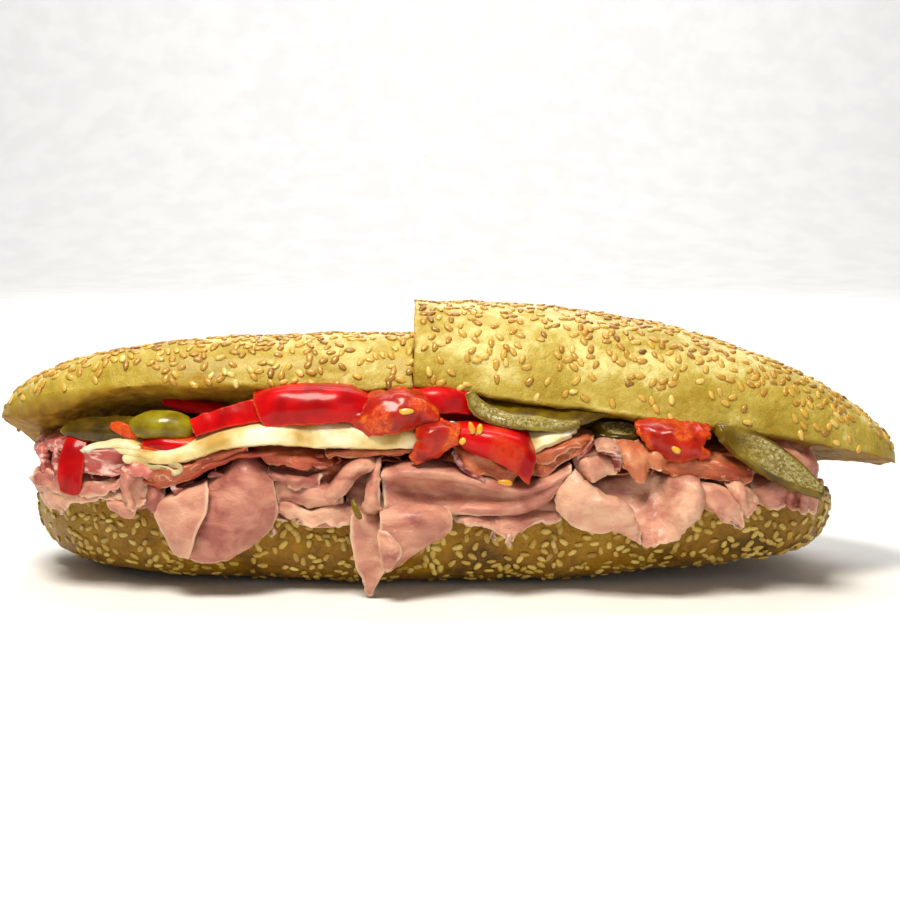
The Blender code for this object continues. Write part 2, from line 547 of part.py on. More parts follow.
def add_toppings(collection, pile):
    """Pepper strips, tomato and pickle slices along the front, under the upper half."""
    left, right = LIDS["left"], LIDS["right"]

    def chunk(name, food, size, place, turn, **shape):
        add_chunk(collection, pile, name, food, size, place, turn, **shape)

    chunk("pepper_small", "pepper", (15, 6, 3.2), (-81, -43.5, 45), (70, -4, 0), bend=0.3, power=(4, 4), settle=False)
    chunk("pickle_back", "pickle", (20, 13, 3.4), (-103.5, -31, 48.5), (22, 0, 0), lid=left, power=(2, 4))
    chunk("pepper_dark", "pepper", (19, 7, 4), (-75, -25, 52), (28, 4, 0), lid=left, bend=0.3, power=(4, 4))
    chunk("pickle_front", "pickle", (16.5, 10.5, 6), (-85.5, -38.5, 49), (30, 0, 0), lid=left, power=(2, 2.4))
    chunk("pepper_long", "pepper", (19.5, 8.5, 4), (-66.7, -42, 52), (62, -13, 0), lid=left, bend=0.2, power=(4, 4))
    chunk("pepper_large", "pepper", (31, 10.5, 4.5), (-40.5, -42.5, 55.5), (60, -3, 0), lid=left, bend=0.4,
          sweep=-0.25, power=(4, 3.5))
    chunk("tomato_left", "tomato", (18.5, 11.5, 5.5), (-13.5, -42.5, 54), (60, 0, 0), lid=left, bend=0.2, power=(3.5, 3))
    chunk("tomato_drip", "tomato", (12, 11, 3.2), (-4, -48, 45), (80, 30, 0), taper=0.3, settle=False)
    chunk("pepper_centre", "pepper", (13, 8, 4.5), (3, -37, 57), (45, 4, 0), lid=right, bend=0.3, power=(4, 4))
    chunk("pepper_bent", "pepper", (27, 9, 3.6), (13.8, -48, 44), (75, 14, 0), bend=0.3, sweep=-0.8, settle=False,
          power=(4, 4))
    chunk("pickle_centre", "pickle", (38, 15, 3.2), (24, -40.5, 51), (36, 8, 0), lid=right, power=(2, 4), bend=0.45)
    chunk("pepper_right", "pepper", (14, 6, 3.2), (31, -26, 50), (12, 6, 0), lid=right, bend=0.2, power=(4, 4))
    chunk("pickle_inner", "pickle", (17, 11, 3.2), (49, -35, 46), (24, 6, 0), lid=right, power=(2, 4))
    chunk("tomato_right", "tomato", (20, 9.5, 4.2), (64, -41, 45), (52, 12, 0), lid=right, bend=0.3)
    chunk("pickle_right", "pickle", (37, 14, 3.2), (90.5, -45.5, 40), (30, 31, 0), lid=right, power=(2, 4),
          bend=0.1, settle=False)
    chunk("pepper_hanging", "pepper", (15.5, 7.5, 3.4), (-109, -37.5, 38.5), (80, 85, 0), bend=0.35, settle=False,
          power=(4, 4))


def main():
    """Builds the sandwich from the table up."""
    collection = clear_scene()
    pile = Pile()
    add_base(collection)
    add_ham(collection, pile)
    add_cured_meat(collection, pile)
    add_cheese(collection, pile)
    add_toppings(collection, pile)
    for lid in LIDS.values():
        add_lid(collection, lid, pile)


if __name__ == "__main__":
    main()
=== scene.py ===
"""Looks of a submarine sandwich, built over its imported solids.

Every slice, strip and half of the roll keeps the place and form of its solid. Here it gets a finer
mesh, with wrinkles, torn rims and lumps, and the finish of the real food. Sesame seeds, shreds and
gathered rims of slices are added. Lengths in this file are millimetres unless a name says otherwise,
and become metres where a mesh or a pattern is made.
"""

from __future__ import annotations

import logging
import math
from collections.abc import Callable, Iterable
from dataclasses import dataclass, replace
from enum import Enum

import bmesh
import bpy
import numpy as np
from mathutils import Euler, Matrix, Vector, noise
from mathutils.bvhtree import BVHTree
from mathutils.kdtree import KDTree


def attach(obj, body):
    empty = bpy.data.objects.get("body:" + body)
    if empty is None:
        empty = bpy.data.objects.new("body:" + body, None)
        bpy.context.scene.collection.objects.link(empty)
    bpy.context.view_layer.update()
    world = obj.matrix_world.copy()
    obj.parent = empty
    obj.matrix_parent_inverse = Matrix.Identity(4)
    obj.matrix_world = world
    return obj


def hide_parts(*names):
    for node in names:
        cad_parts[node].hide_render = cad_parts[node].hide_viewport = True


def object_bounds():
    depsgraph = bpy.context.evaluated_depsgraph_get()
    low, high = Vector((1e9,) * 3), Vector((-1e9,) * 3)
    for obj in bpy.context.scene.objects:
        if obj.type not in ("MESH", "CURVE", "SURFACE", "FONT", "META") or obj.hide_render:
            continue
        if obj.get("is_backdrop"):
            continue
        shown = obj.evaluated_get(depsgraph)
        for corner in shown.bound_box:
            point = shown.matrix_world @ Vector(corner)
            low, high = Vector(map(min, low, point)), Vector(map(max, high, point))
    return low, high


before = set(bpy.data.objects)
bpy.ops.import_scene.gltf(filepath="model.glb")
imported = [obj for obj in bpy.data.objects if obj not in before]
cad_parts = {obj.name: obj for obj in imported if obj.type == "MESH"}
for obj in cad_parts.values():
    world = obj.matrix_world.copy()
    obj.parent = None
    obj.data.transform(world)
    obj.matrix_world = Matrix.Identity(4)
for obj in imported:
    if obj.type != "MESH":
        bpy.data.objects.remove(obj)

log = logging.getLogger("sandwich")

MM = 0.001
SEED = 20
MIX_FACTOR, MIX_A, MIX_B, MIX_RESULT = 0, 6, 7, 2  # sockets of a colour mix

Socket = bpy.types.NodeSocket
Inputs = dict[str | int, object]
Stops = tuple[tuple[float, str], ...]
Span = tuple[float, float]
Place = tuple[float, float, float]


# --- small tools --------------------------------------------------------------------------------
def linear(hex_colour: str) -> tuple[float, float, float, float]:
    """Turns an sRGB hex colour into the linear one that a shader takes.

    Args:
        hex_colour: Six hex digits after a hash.

    Returns:
        Linear red, green and blue, and an alpha of 1.
    """
    parts = (int(hex_colour[i : i + 2], 16) / 255 for i in (1, 3, 5))
    return (*(p / 12.92 if p <= 0.04045 else ((p + 0.055) / 1.055) ** 2.4 for p in parts), 1.0)


def per_metre(size: float) -> float:
    """The scale that gives a pattern features of this size in millimetres."""
    return 1.0 / (size * MM)


def smooth_step(low: float, high: float, value: np.ndarray) -> np.ndarray:
    """0 below low, 1 above high, and an even ramp between."""
    t = np.clip((value - low) / (high - low), 0.0, 1.0)
    return t * t * (3.0 - 2.0 * t)


def drift(points: np.ndarray, size: float, origin: Vector) -> np.ndarray:
    """A smooth random vector, at most about 1 long, for each point.

    Args:
        points: Points in millimetres.
        size: Size of the features.
        origin: Shifts the field, so that two pieces don't share it.

    Returns:
        One vector a point.
    """
    return np.array([noise.noise_vector(Vector(p) / size + origin) for p in points])


def read_points(mesh: bpy.types.Mesh) -> tuple[np.ndarray, np.ndarray]:
    """Reads a mesh.

    Args:
        mesh: The mesh.

    Returns:
        Its points, in millimetres, and their normals.
    """
    flat = np.empty(len(mesh.vertices) * 3)
    mesh.vertices.foreach_get("co", flat)
    points = flat.reshape(-1, 3) / MM
    mesh.vertices.foreach_get("normal", flat)
    return points, flat.reshape(-1, 3)


def store(mesh: bpy.types.Mesh, name: str, values: np.ndarray) -> None:
    """Stores one number or one colour a point, for the finish to read."""
    kind, field = ("FLOAT", "value") if values.ndim == 1 else ("FLOAT_COLOR", "color")
    mesh.attributes.new(name, kind, "POINT").data.foreach_set(field, values.astype(np.float32).ravel())


# --- finishes -----------------------------------------------------------------------------------
@dataclass
class Recipe:
    """A material under way, with a short call for each kind of node that the finishes use.

    Attributes:
        name: The material's name.
    """

    name: str

    def __post_init__(self) -> None:
        """Starts the material, its shader and the place in metres of each point."""
        self.material = bpy.data.materials.new(self.name)
        self.material.use_nodes = True
        self.tree = self.material.node_tree
        self.shader = self.tree.nodes["Principled BSDF"]
        self.place = self.add("TexCoord").outputs["Object"]

    def add(self, kind: str, inputs: Inputs | None = None, **settings: object) -> bpy.types.Node:
        """Adds a node with its settings, values and links.

        Args:
            kind: The node's type, without ShaderNode in front.
            inputs: A value or an output socket for each input, by name or by place.
            **settings: The node's own properties.

        Returns:
            The new node.
        """
        made = self.tree.nodes.new("ShaderNode" + kind)
        for key, value in settings.items():
            setattr(made, key, value)
        for key, value in (inputs or {}).items():
            if isinstance(value, Socket):
                self.tree.links.new(value, made.inputs[key])
            else:
                made.inputs[key].default_value = value
        return made

    def feed(self, name: str, value: Socket) -> None:
        """Links a value to one of the shader's inputs."""
        self.tree.links.new(value, self.shader.inputs[name])

    def attribute(self, name: str, output: str = "Fac") -> Socket:
        """What the mesh holds under this name."""
        return self.add("Attribute", attribute_name=name).outputs[output]

    def pattern(self, size: float, detail: float, where: Socket | None = None, **more: float) -> Socket:
        """An uneven pattern.

        Args:
            size: Size of its features in millimetres.
            detail: How many finer patterns are laid over it.
            where: The places that it is read at, if not the point's own.
            **more: Its roughness and distortion.

        Returns:
            A number from 0 to 1.
        """
        inputs = {"Vector": where or self.place, "Scale": per_metre(size), "Detail": detail}
        inputs |= {key.capitalize(): value for key, value in more.items()}
        return self.add("TexNoise", inputs).outputs["Fac"]

    def ramp(self, value: Socket, stops: Stops) -> Socket:
        """The colour that a value has.

        Args:
            value: The value.
            stops: Place and hex colour of each stop.

        Returns:
            The colour.
        """
        made = self.add("ValToRGB", {"Fac": value})
        elements = made.color_ramp.elements
        while len(elements) < len(stops):
            elements.new(0.5)
        for element, (place, colour) in zip(elements, stops):
            element.position = place
            element.color = linear(colour)
        return made.outputs["Color"]

    def tinted(self, share: Socket, first: Socket, second: Socket | str) -> Socket:
        """A colour between two, of which the second may be a hex colour."""
        other = linear(second) if isinstance(second, str) else second
        inputs = {MIX_FACTOR: share, MIX_A: first, MIX_B: other}
        return self.add("Mix", inputs, data_type="RGBA").outputs[MIX_RESULT]

    def between(self, share: Socket, first: Socket, second: Socket) -> Socket:
        """A number between two."""
        return self.add("Mix", {MIX_FACTOR: share, 2: first, 3: second}, data_type="FLOAT").outputs[0]

    def maths(self, operation: str, *values: Socket | float, clamp: bool = False) -> Socket:
        """The result of one operation on numbers."""
        inputs = dict(enumerate(values))
        return self.add("Math", inputs, operation=operation, use_clamp=clamp).outputs[0]

    def ranged(self, value: Socket, to: Span = (0.0, 1.0), start: Span = (0.0, 1.0)) -> Socket:
        """Moves a value from one range to another.

        Args:
            value: The value.
            to: The range that it gets.
            start: The range that it has.

        Returns:
            The value, kept within the new range.
        """
        inputs = {"Value": value, "From Min": start[0], "From Max": start[1]}
        inputs |= {"To Min": to[0], "To Max": to[1]}
        return self.add("MapRange", inputs).outputs["Result"]

    def relief(self, height: Socket, strength: Socket | float, depth: float) -> None:
        """Gives the surface a relief that is depth millimetres deep at full strength."""
        bump = self.add("Bump", {"Height": height, "Strength": strength, "Distance": depth * MM})
        self.feed("Normal", bump.outputs["Normal"])


@dataclass(frozen=True)
class Finish:
    """What every food finish shares: how it reflects, lets light in, and how rough it is."""

    name: str
    roughness: float = 0.4
    ior: float = 1.45
    coat: float = 0.0
    coat_roughness: float = 0.08
    scatter: float = 0.0
    scatter_depth: float = 2.0
    scatter_colour: tuple[float, float, float] = (1.0, 0.35, 0.2)

    def begin(self) -> Recipe:
        """Starts the material.

        Returns:
            The recipe that its patterns are added to.
        """
        mix = Recipe(self.name)
        for socket, value in (
            ("Roughness", self.roughness),
            ("IOR", self.ior),
            ("Coat Weight", self.coat),
            ("Coat Roughness", self.coat_roughness),
            ("Subsurface Weight", self.scatter),
            ("Subsurface Scale", self.scatter_depth * MM),
            ("Subsurface Radius", self.scatter_colour),
        ):
            mix.shader.inputs[socket].default_value = value
        return mix


@dataclass(frozen=True)
class BakedBread(Finish):
    """Soft wheat crust, baked and glazed: golden, with a dull sheen; open crumb, pale where cut across
    and darkened with painted shade where it faces the filling.
    """

    crust: Stops = (
        (0.0, "#e4d68c"), (0.2, "#baa244"), (0.4, "#a48a28"), (0.6, "#a07606"), (0.8, "#8a6002"),
        (1.0, "#543a00"),
    )
    # crumb that faces the filling, darkened with painted shade
    crumb: Stops = ((0.25, "#6c4806"), (0.5, "#90680c"), (0.72, "#a88222"))
    # the crumb's own pale colour, which the cut ends show
    fresh_crumb: Stops = ((0.28, "#c8a464"), (0.5, "#e2c88e"), (0.72, "#f2e4ba"))
    patch: float = 14.0  # the oven browns it in patches
    blister: float = 2.2
    wrinkle: float = 0.9  # the skin shrinks in fine wrinkles
    pore: float = 1.3

    PATCHY, SPECKLED, LIGHTER = 0.95, 0.28, 0.61  # share of the patches and blisters, and their mean
    ROUGHER = (-0.08, 0.12)  # how far the blisters change its roughness
    CRUMB_ROUGHER = 0.4
    WRINKLED = 0.6
    PORE_SPREAD, TEAR_SPREAD = 1.6, 3  # size of the holes and of the torn crumb, in pores

    def material(self) -> bpy.types.Material:
        """Builds the material; it reads the attributes bake, which also holds painted shade, crumb, and
        the share of cut end, where the crumb keeps its own pale colour.

        Returns:
            The material.
        """
        mix = self.begin()
        bake, cut, fresh = (mix.attribute(name) for name in ("bake", "crumb", "fresh"))
        patches = mix.pattern(self.patch, 5.0, roughness=0.6)
        blisters = mix.pattern(self.blister, 3.0)
        wrinkles = mix.pattern(self.wrinkle, 2.0, distortion=1.2)
        uneven = mix.maths("MULTIPLY_ADD", patches, self.PATCHY, bake)
        speckled = mix.maths("MULTIPLY_ADD", blisters, self.SPECKLED, uneven)
        crust = mix.ramp(mix.maths("SUBTRACT", speckled, self.LIGHTER, clamp=True), self.crust)
        holes = {"Vector": mix.place, "Scale": per_metre(self.pore * self.PORE_SPREAD)}
        pores = mix.add("TexVoronoi", holes, feature="SMOOTH_F1").outputs["Distance"]
        torn = mix.pattern(self.pore * self.TEAR_SPREAD, 6.0)
        # painted shade on the crumb, except at the cut ends, which keep its own pale colour
        crumb = mix.tinted(fresh, mix.ramp(torn, self.crumb), mix.ramp(torn, self.fresh_crumb))
        mix.feed("Base Color", mix.tinted(cut, crust, crumb))
        smoothest, roughest = self.ROUGHER
        rough = mix.ranged(blisters, (self.roughness + smoothest, self.roughness + roughest))
        mix.feed("Roughness", mix.maths("MULTIPLY_ADD", cut, self.CRUMB_ROUGHER, rough))
        skin = mix.maths("MULTIPLY_ADD", wrinkles, self.WRINKLED, blisters)
        open_crumb = mix.maths("ADD", torn, pores)
        mix.relief(mix.between(cut, skin, open_crumb), 0.85, 0.7)
        return mix.material


@dataclass(frozen=True)
class SlicedMeat(Finish):
    """Cured or boiled pork, sliced: lean with fat running through it and a paler, drier rim."""

    lean: Stops = ((0.3, "#c98a70"), (0.7, "#dba287"))
    fat: str = "#efd0b4"
    rim: str = "#f0d6bd"
    fat_share: float = 0.2  # from 0, all lean, to 1
    marbling: float = 9.0  # length of a streak of fat
    fibre: float = 0.8
    stretch: tuple[float, float, float] = (1.0, 1.0, 1.6)
    rim_width: float = 1.0
    bumps: float = 0.3  # strength of its relief

    LEANEST = 0.72  # where fat begins in the leanest slice
    FATTER = 0.3  # how much lower it begins in the fattest
    FAT_SOFT = 0.1  # how softly fat meets lean
    STREAK = 0.55  # width of a streak, as a share of its length
    RIM_WANDER = 2.2  # how far the pale rim wanders in and out, in millimetres
    RIM_PALE = 0.6
    STREAK_RELIEF = 1.5

    def material(self) -> bpy.types.Material:
        """Builds the material; it reads the attributes rim, in millimetres, and tint.

        Returns:
            The material.
        """
        mix = self.begin()
        rim, tint = mix.attribute("rim"), mix.attribute("tint")
        grain = mix.add("Mapping", {"Vector": mix.place, "Scale": self.stretch}).outputs["Vector"]
        clouds = mix.pattern(self.marbling, 4.0, grain, distortion=0.6)
        lean = mix.ramp(mix.maths("ADD", clouds, tint), self.lean)
        streaks = mix.pattern(self.marbling * self.STREAK, 6.0, grain, roughness=0.62, distortion=1.6)
        edge = self.LEANEST - self.FATTER * self.fat_share
        fatty = mix.ranged(streaks, start=(edge, edge + self.FAT_SOFT))
        fibres = mix.pattern(self.fibre, 3.0, grain, distortion=0.8)
        ragged = mix.maths("MULTIPLY_ADD", clouds, self.RIM_WANDER, rim)
        inner = self.RIM_WANDER / 2
        pale = mix.ranged(ragged, (self.RIM_PALE, 0.0), (inner, inner + self.rim_width))
        mix.feed("Base Color", mix.tinted(pale, mix.tinted(fatty, lean, self.fat), self.rim))
        mix.feed("Roughness", mix.ranged(fibres, (self.roughness - 0.1, self.roughness + 0.15)))
        mix.relief(mix.maths("MULTIPLY_ADD", streaks, self.STREAK_RELIEF, fibres), self.bumps, 0.4)
        return mix.material


@dataclass(frozen=True)
class SlicedCheese(Finish):
    """Provolone, pressed and sliced: cream, waxy, a little darker and drier along the cut rim."""

    body: Stops = ((0.32, "#c09a4c"), (0.45, "#e0cc90"), (0.56, "#f4ecce"), (0.7, "#faf7e8"))
    rim: str = "#dcc388"
    cloud: float = 12.0
    curd: float = 1.2

    DRY, DRY_WIDTH = 0.55, (0.2, 1.6)  # how much of the rim's colour shows, and where it ends

    def material(self) -> bpy.types.Material:
        """Builds the material; it reads the attribute rim, in millimetres.

        Returns:
            The material.
        """
        mix = self.begin()
        body = mix.ramp(mix.pattern(self.cloud, 4.0), self.body)
        dry = mix.ranged(mix.attribute("rim"), (self.DRY, 0.0), self.DRY_WIDTH)
        mix.feed("Base Color", mix.tinted(dry, body, self.rim))
        mix.relief(mix.pattern(self.curd, 4.0, roughness=0.6), 0.35, 0.35)
        return mix.material


@dataclass(frozen=True)
class WetFlesh(Finish):
    """Pepper, tomato or pickle, wet with its own juice: skin over softer, lighter flesh."""

    skin: Stops = ((0.3, "#8f0f0f"), (0.7, "#d0201c"))
    flesh: Stops = ((0.3, "#c2401c"), (0.7, "#e0702c"))
    cloud: float = 7.0
    pulp: float = 1.5
    bumps: float = 0.25  # strength of the skin's relief
    pulp_bumps: float = 0.6

    def material(self) -> bpy.types.Material:
        """Builds the material; it reads the attribute flesh, 0 on skin and 1 inside, and tint.

        Returns:
            The material.
        """
        mix = self.begin()
        inside = mix.attribute("flesh")
        clouds = mix.pattern(self.cloud, 4.0, distortion=0.5)
        pulp = mix.pattern(self.pulp, 5.0, roughness=0.65, distortion=0.7)
        skin = mix.ramp(mix.maths("ADD", clouds, mix.attribute("tint")), self.skin)
        mix.feed("Base Color", mix.tinted(inside, skin, mix.ramp(pulp, self.flesh)))
        strength = mix.ranged(inside, (self.bumps, self.pulp_bumps))
        mix.relief(mix.between(inside, clouds, pulp), strength, 0.8)
        return mix.material


@dataclass(frozen=True)
class PaintedByPiece(Finish):
    """Small things, each with its own tone, such as hulled seeds; the attribute tone holds it."""

    speck: float = 0.5

    def material(self) -> bpy.types.Material:
        """Builds the material.

        Returns:
            The material.
        """
        mix = self.begin()
        specks = mix.pattern(self.speck, 2.0)
        shade = {0: mix.attribute("tone", "Color"), "Scale": mix.ranged(specks, (0.8, 1.15))}
        mix.feed("Base Color", mix.add("VectorMath", shade, operation="SCALE").outputs["Vector"])
        mix.relief(specks, 0.15, 0.1)
        return mix.material


@dataclass(frozen=True)
class StudioPaper(Finish):
    """Matt white backdrop paper."""

    tone: Stops = ((0.4, "#f1f0ee"), (0.6, "#f6f5f3"))
    fibre: float = 60.0

    def material(self) -> bpy.types.Material:
        """Builds the material.

        Returns:
            The material.
        """
        mix = self.begin()
        mix.feed("Base Color", mix.ramp(mix.pattern(self.fibre, 2.0), self.tone))
        return mix.material


class Food(Enum):
    """Every finish, by the food that has it."""

    BREAD = BakedBread("baked_wheat_roll", roughness=0.42, ior=1.3, coat=0.1, coat_roughness=0.22)
    # boiled ham is moist and lets light in, so its folds glow and its sheen is soft
    HAM = SlicedMeat(
        "boiled_ham", roughness=0.44, ior=1.38, coat=0.2, coat_roughness=0.2, scatter=0.3,
        scatter_depth=2.0, scatter_colour=(1.0, 0.4, 0.28),
        lean=((0.28, "#a05a4e"), (0.45, "#c0806c"), (0.6, "#d29a80"), (0.8, "#e2b496")), fat="#e6c09e",
        rim="#f0d6b8", fat_share=0.2, fibre=0.9, bumps=0.8,
    )
    # coppa shows wide white fat in pink lean
    COPPA = SlicedMeat(
        "cured_coppa", roughness=0.42, ior=1.4, coat=0.2, coat_roughness=0.18, scatter=0.3,
        scatter_depth=1.2, lean=((0.25, "#8e342c"), (0.5, "#b0524a"), (0.75, "#cc7468")), fat="#e6b6aa",
        rim="#dfa994", fat_share=0.74, marbling=12.0, stretch=(0.5, 1.0, 2.2), bumps=0.5, rim_width=0.6,
    )
    # salami is brown-red and speckled with fine fat
    SALAMI = SlicedMeat(
        "cured_salami", roughness=0.4, ior=1.4, coat=0.22, coat_roughness=0.18, scatter=0.2,
        scatter_depth=1.0, lean=((0.25, "#842a1a"), (0.5, "#b0482e"), (0.8, "#cc6844")), fat="#dc9a72",
        rim="#cc8660", fat_share=0.4, marbling=5.0, stretch=(0.6, 1.0, 2.0), bumps=0.5, rim_width=0.5,
    )
    # dry ham is thin enough to glow golden
    DRY_HAM = SlicedMeat(
        "air_dried_ham", roughness=0.38, ior=1.4, coat=0.25, coat_roughness=0.16, scatter=0.4,
        scatter_depth=1.5, scatter_colour=(1.0, 0.45, 0.2),
        lean=((0.25, "#983e22"), (0.5, "#be643e"), (0.8, "#d69268")), fat="#e0b088", rim="#e8c094",
        fat_share=0.4, marbling=8.0, bumps=0.5, rim_width=0.6,
    )
    CHEESE = SlicedCheese(
        "sliced_provolone", roughness=0.4, ior=1.4, coat=0.15, coat_roughness=0.2, scatter=0.3,
        scatter_depth=2.0, scatter_colour=(1.0, 0.75, 0.35),
    )
    # roasted pepper is peeled, so it is smooth, deep red and mirror-wet
    PEPPER = WetFlesh(
        "roasted_red_pepper", roughness=0.3, ior=1.24, coat=0.16, coat_roughness=0.03, scatter=0.1,
        scatter_depth=1.5, skin=((0.15, "#6a0408"), (0.42, "#ac060a"), (0.65, "#d20c0e")),
        flesh=((0.3, "#c03414"), (0.7, "#e0681e")), cloud=9.0,
    )
    TOMATO = WetFlesh(
        "ripe_tomato", roughness=0.26, ior=1.3, coat=0.22, coat_roughness=0.04, scatter=0.2,
        scatter_depth=2.0, skin=((0.3, "#8a140c"), (0.7, "#c22a12")),
        flesh=((0.3, "#a81c0a"), (0.5, "#d04614"), (0.72, "#e27c24")), cloud=5.0, pulp=1.6, bumps=0.4,
        pulp_bumps=0.7,
    )
    PICKLE = WetFlesh(
        "pickled_cucumber", roughness=0.26, ior=1.3, coat=0.3, coat_roughness=0.05, scatter=0.2,
        scatter_depth=2.0, scatter_colour=(0.8, 0.9, 0.2),
        skin=((0.1, "#342606"), (0.35, "#5c460a"), (0.55, "#78640e"), (0.8, "#9c9416")),
        flesh=((0.34, "#705a1a"), (0.48, "#9c8a40"), (0.62, "#d6cc98")), pulp=0.9, pulp_bumps=1.6,
    )
    SESAME = PaintedByPiece("hulled_sesame", roughness=0.34, coat=0.3, coat_roughness=0.12)
    WET_SEEDS = PaintedByPiece("wet_seeds", roughness=0.25, coat=0.9, coat_roughness=0.05)
    PAPER = StudioPaper("backdrop_paper", roughness=0.9)

    def dress(self, piece: bpy.types.Object) -> None:
        """Gives a piece this finish, which is built once."""
        made = bpy.data.materials.get(self.value.name) or self.value.material()
        piece.data.materials.clear()
        piece.data.materials.append(made)


# --- meshes -------------------------------------------------------------------------------------
@dataclass
class FineMesh:
    """A node's solid as a fine mesh that can be reshaped.

    Attributes:
        node: The CAD node it starts from.
        crease: How much of a cut edge stays sharp, from 0 to 1.
        sharp: Angle in degrees from which an edge of the solid counts as cut.
    """

    node: str
    crease: float = 0.0
    sharp: float = 58.0

    LEVELS = 3  # how many times each face is split in four
    MERGE = 1e-5  # metres
    QUAD_FLATNESS = math.radians(60)
    QUAD_SHAPE = math.radians(75)
    EDGE_STEP = 0.6  # between the places on a cut edge that its distance is taken from

    def __post_init__(self) -> None:
        """Builds the mesh."""
        bm = bmesh.new()
        bm.from_mesh(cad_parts[self.node].data)
        bmesh.ops.remove_doubles(bm, verts=bm.verts, dist=self.MERGE)
        bmesh.ops.join_triangles(
            bm,
            faces=bm.faces,
            angle_face_threshold=self.QUAD_FLATNESS,
            angle_shape_threshold=self.QUAD_SHAPE,
        )
        bm.normal_update()
        layer = bm.edges.layers.float.new("crease_edge")
        inner = [edge for edge in bm.edges if len(edge.link_faces) == 2]
        cuts = [edge for edge in inner if edge.calc_face_angle() > math.radians(self.sharp)]
        for edge in cuts:
            edge[layer] = self.crease
        self.cut_places = self.along(cuts)
        self.mesh = self.subdivided(bm)
        bm.free()
        self.points, self.normals = read_points(self.mesh)

    def along(self, edges: Iterable[bmesh.types.BMEdge]) -> list[Vector]:
        """Places in millimetres along edges, EDGE_STEP apart."""
        places = []
        for edge in edges:
            a, b = (vert.co / MM for vert in edge.verts)
            steps = max(1, round((b - a).length / self.EDGE_STEP))
            places += [a.lerp(b, i / steps) for i in range(steps + 1)]
        return places

    def subdivided(self, bm: bmesh.types.BMesh) -> bpy.types.Mesh:
        """The cage after its subdivision surface.

        Args:
            bm: The cage.

        Returns:
            The finer mesh.
        """
        cage = bpy.data.meshes.new("cage")
        bm.to_mesh(cage)
        holder = bpy.data.objects.new("cage", cage)
        bpy.context.scene.collection.objects.link(holder)
        split = holder.modifiers.new("split", "SUBSURF")
        split.levels = split.render_levels = self.LEVELS
        bpy.context.view_layer.update()
        graph = bpy.context.evaluated_depsgraph_get()
        fine = bpy.data.meshes.new_from_object(holder.evaluated_get(graph))
        bpy.data.objects.remove(holder)
        bpy.data.meshes.remove(cage)
        return fine

    def write(self) -> None:
        """Puts the points back and reads the new normals."""
        self.mesh.vertices.foreach_set("co", (self.points * MM).ravel())
        self.mesh.update()
        self.points, self.normals = read_points(self.mesh)

    def cut_distance(self) -> np.ndarray:
        """How far each point is from the nearest cut edge, in millimetres."""
        tree = KDTree(len(self.cut_places))
        for i, place in enumerate(self.cut_places):
            tree.insert(place, i)
        tree.balance()
        return np.array([tree.find(p)[2] for p in self.points])

    def keep(self, name: str, values: np.ndarray) -> None:
        """Stores one number a point for the finish to read."""
        store(self.mesh, name, values)

    def place(self, name: str, food: Food, slot: str) -> bpy.types.Object:
        """Makes the piece that stands for the node."""
        return finished(self.mesh, name, food, [self.node])


def finished(
    mesh: bpy.types.Mesh, name: str, food: Food, nodes: Iterable[str] = ()
) -> bpy.types.Object:
    """Makes a piece.

    Args:
        mesh: Its mesh, in place.
        name: Its name.
        food: Its finish.
        nodes: The CAD nodes that it stands for.

    Returns:
        The piece.
    """
    mesh.name = name
    mesh.shade_smooth()
    piece = bpy.data.objects.new(name, mesh)
    bpy.context.scene.collection.objects.link(piece)
    food.dress(piece)
    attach(piece, "root")
    if nodes:
        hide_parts(*nodes)
    log.info("%s: %d points", name, len(mesh.vertices))
    return piece


